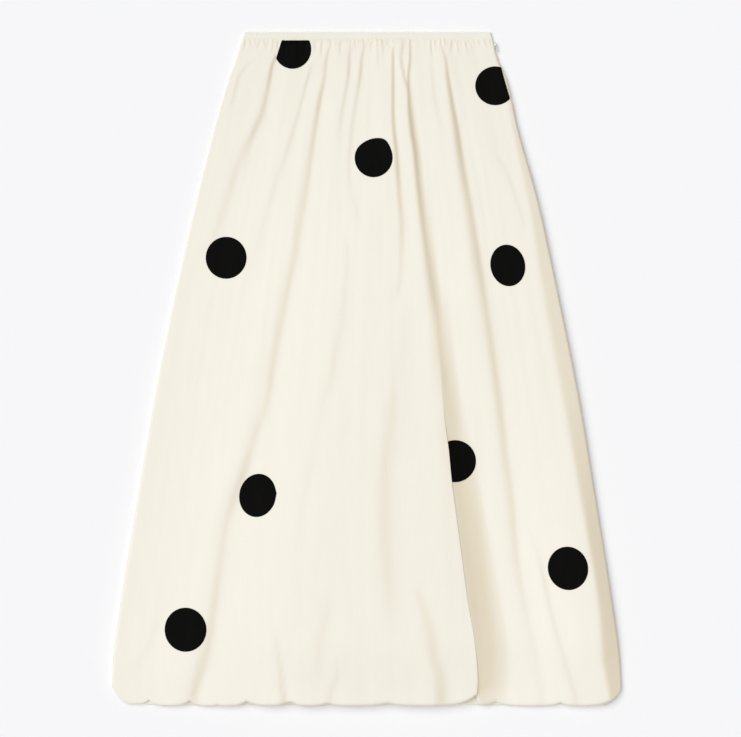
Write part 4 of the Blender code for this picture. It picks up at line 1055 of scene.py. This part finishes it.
class SKIRT_OT_back(bpy.types.Operator):
    """Add the back's cloth, level on the floor, with its pressed creases and patches"""
    bl_idname = "skirt.back"
    bl_label = "Back"

    def execute(self, context):
        cream, black, _ = materials()
        piece = sheet_piece("back_cloth", back_surface, back_grid(), -1, cream)
        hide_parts("back_panel")
        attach(piece, "skirt")
        for number, dot in enumerate(BACK_DOTS, 1):
            disc = patch(f"back_patch_{number}", dot, back_surface, -1, BACK_PATCH_HEIGHT, black)
            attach(disc, "skirt")
        return {"FINISHED"}


class SKIRT_OT_waistband(bpy.types.Operator):
    """Add both halves of the waistband, a narrow double band with puckers at its lower edge"""
    bl_idname = "skirt.waistband"
    bl_label = "Waistband"

    def execute(self, context):
        cream, _, _ = materials()
        for name, front in (("waistband_front", True), ("waistband_back", False)):
            piece = closed_tube(f"{name}_cloth", band_points(front), cream, flip=not front)
            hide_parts(name)
            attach(piece, "skirt")
        return {"FINISHED"}


class SKIRT_OT_patches(bpy.types.Operator):
    """Add the round patches of the front, each with a stitched edge and wrinkles of its own"""
    bl_idname = "skirt.patches"
    bl_label = "Patches"

    def execute(self, context):
        _, black, _ = materials()
        for number, dot in enumerate(DOTS, 1):
            piece = patch(f"patch_{number}", dot, front_surface, 1, size("patch"), black)
            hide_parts(f"dot_{number}")
            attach(piece, "skirt")
            area = math.pi * float(np.mean(dot_radius(dot, PATCH_ANGLES) ** 2)) * MM * MM
        return {"FINISHED"}


class SKIRT_OT_zip(bpy.types.Operator):
    """Finish the zip's slider and its pull in enamel"""
    bl_idname = "skirt.zip"
    bl_label = "Zip"

    def execute(self, context):
        _, _, enamel = materials()
        for name in ("zip_slider", "zip_pull"):
            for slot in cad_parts[name].material_slots:
                slot.material = enamel
        return {"FINISHED"}


class SKIRT_OT_stage(bpy.types.Operator):
    """Add the floor, the lights and the camera straight above"""
    bl_idname = "skirt.stage"
    bl_label = "Stage"

    def execute(self, context):
        look = context.scene.skirt_stage
        half = FLOOR_HALF
        corners = [(x, y, FLOOR_Z) for x, y in ((-half, -half), (half, -half), (half, half), (-half, half))]
        floor = new_piece("floor", corners, [[0, 1, 2, 3]], floor_material(look.floor))

        sun = bpy.data.lights.new("main_light", "SUN")
        sun.energy = look.sun
        sun.angle = math.radians(66)
        sun.color = (1.0, 0.995, 0.985)
        lamp = bpy.data.objects.new("main_light", sun)
        lamp.rotation_euler = SUN_TILT
        context.scene.collection.objects.link(lamp)

        world = bpy.data.worlds.new("soft_studio")
        world.use_nodes = True
        feed(world.node_tree, world.node_tree.nodes["Background"],
             {"Color": (0.97, 0.98, 1.0, 1), "Strength": look.fill})
        context.scene.world = world
        context.scene.view_settings.view_transform = "Standard"

        camera = bpy.data.cameras.new("camera")
        camera.lens = 250
        camera.sensor_width = 36
        camera.clip_end = 100
        view = bpy.data.objects.new("camera", camera)
        distance = VIEW_PIXELS * look.scale * camera.lens / camera.sensor_width
        view.location = (*VIEW_MIDDLE, distance + VIEW_HEIGHT)
        context.scene.collection.objects.link(view)
        context.scene.camera = view
        return {"FINISHED"}


class SKIRT_PT_panel(bpy.types.Panel):
    """Pieces of the skirt, their sizes and their colours"""
    bl_label = "Balloon skirt"
    bl_idname = "SKIRT_PT_panel"
    bl_space_type = "VIEW_3D"
    bl_region_type = "UI"
    bl_category = "Skirt"

    def draw(self, context):
        layout = self.layout
        for kind, where in GROUPS.items():
            for name in kind.__annotations__:
                layout.prop(getattr(context.scene, where), name)
        for operator in OPERATORS:
            layout.operator(operator.bl_idname)


OPERATORS = (SKIRT_OT_front, SKIRT_OT_back, SKIRT_OT_waistband, SKIRT_OT_patches, SKIRT_OT_zip,
             SKIRT_OT_stage)
GROUPS = {SkirtSizes: "skirt_sizes", SkirtCloth: "skirt_cloth", SkirtStage: "skirt_stage"}
CLASSES = (*GROUPS, *OPERATORS, SKIRT_PT_panel)


def register():
    for kind in CLASSES:
        bpy.utils.register_class(kind)
    for kind, where in GROUPS.items():
        setattr(bpy.types.Scene, where, bpy.props.PointerProperty(type=kind))


def unregister():
    for where in GROUPS.values():
        delattr(bpy.types.Scene, where)
    for kind in reversed(CLASSES):
        bpy.utils.unregister_class(kind)


def main():
    """Registers the classes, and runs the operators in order."""
    register()
    for name in ("front", "back", "waistband", "patches", "zip", "stage"):
        getattr(bpy.ops.skirt, name)()


if __name__ == "__main__":
    main()
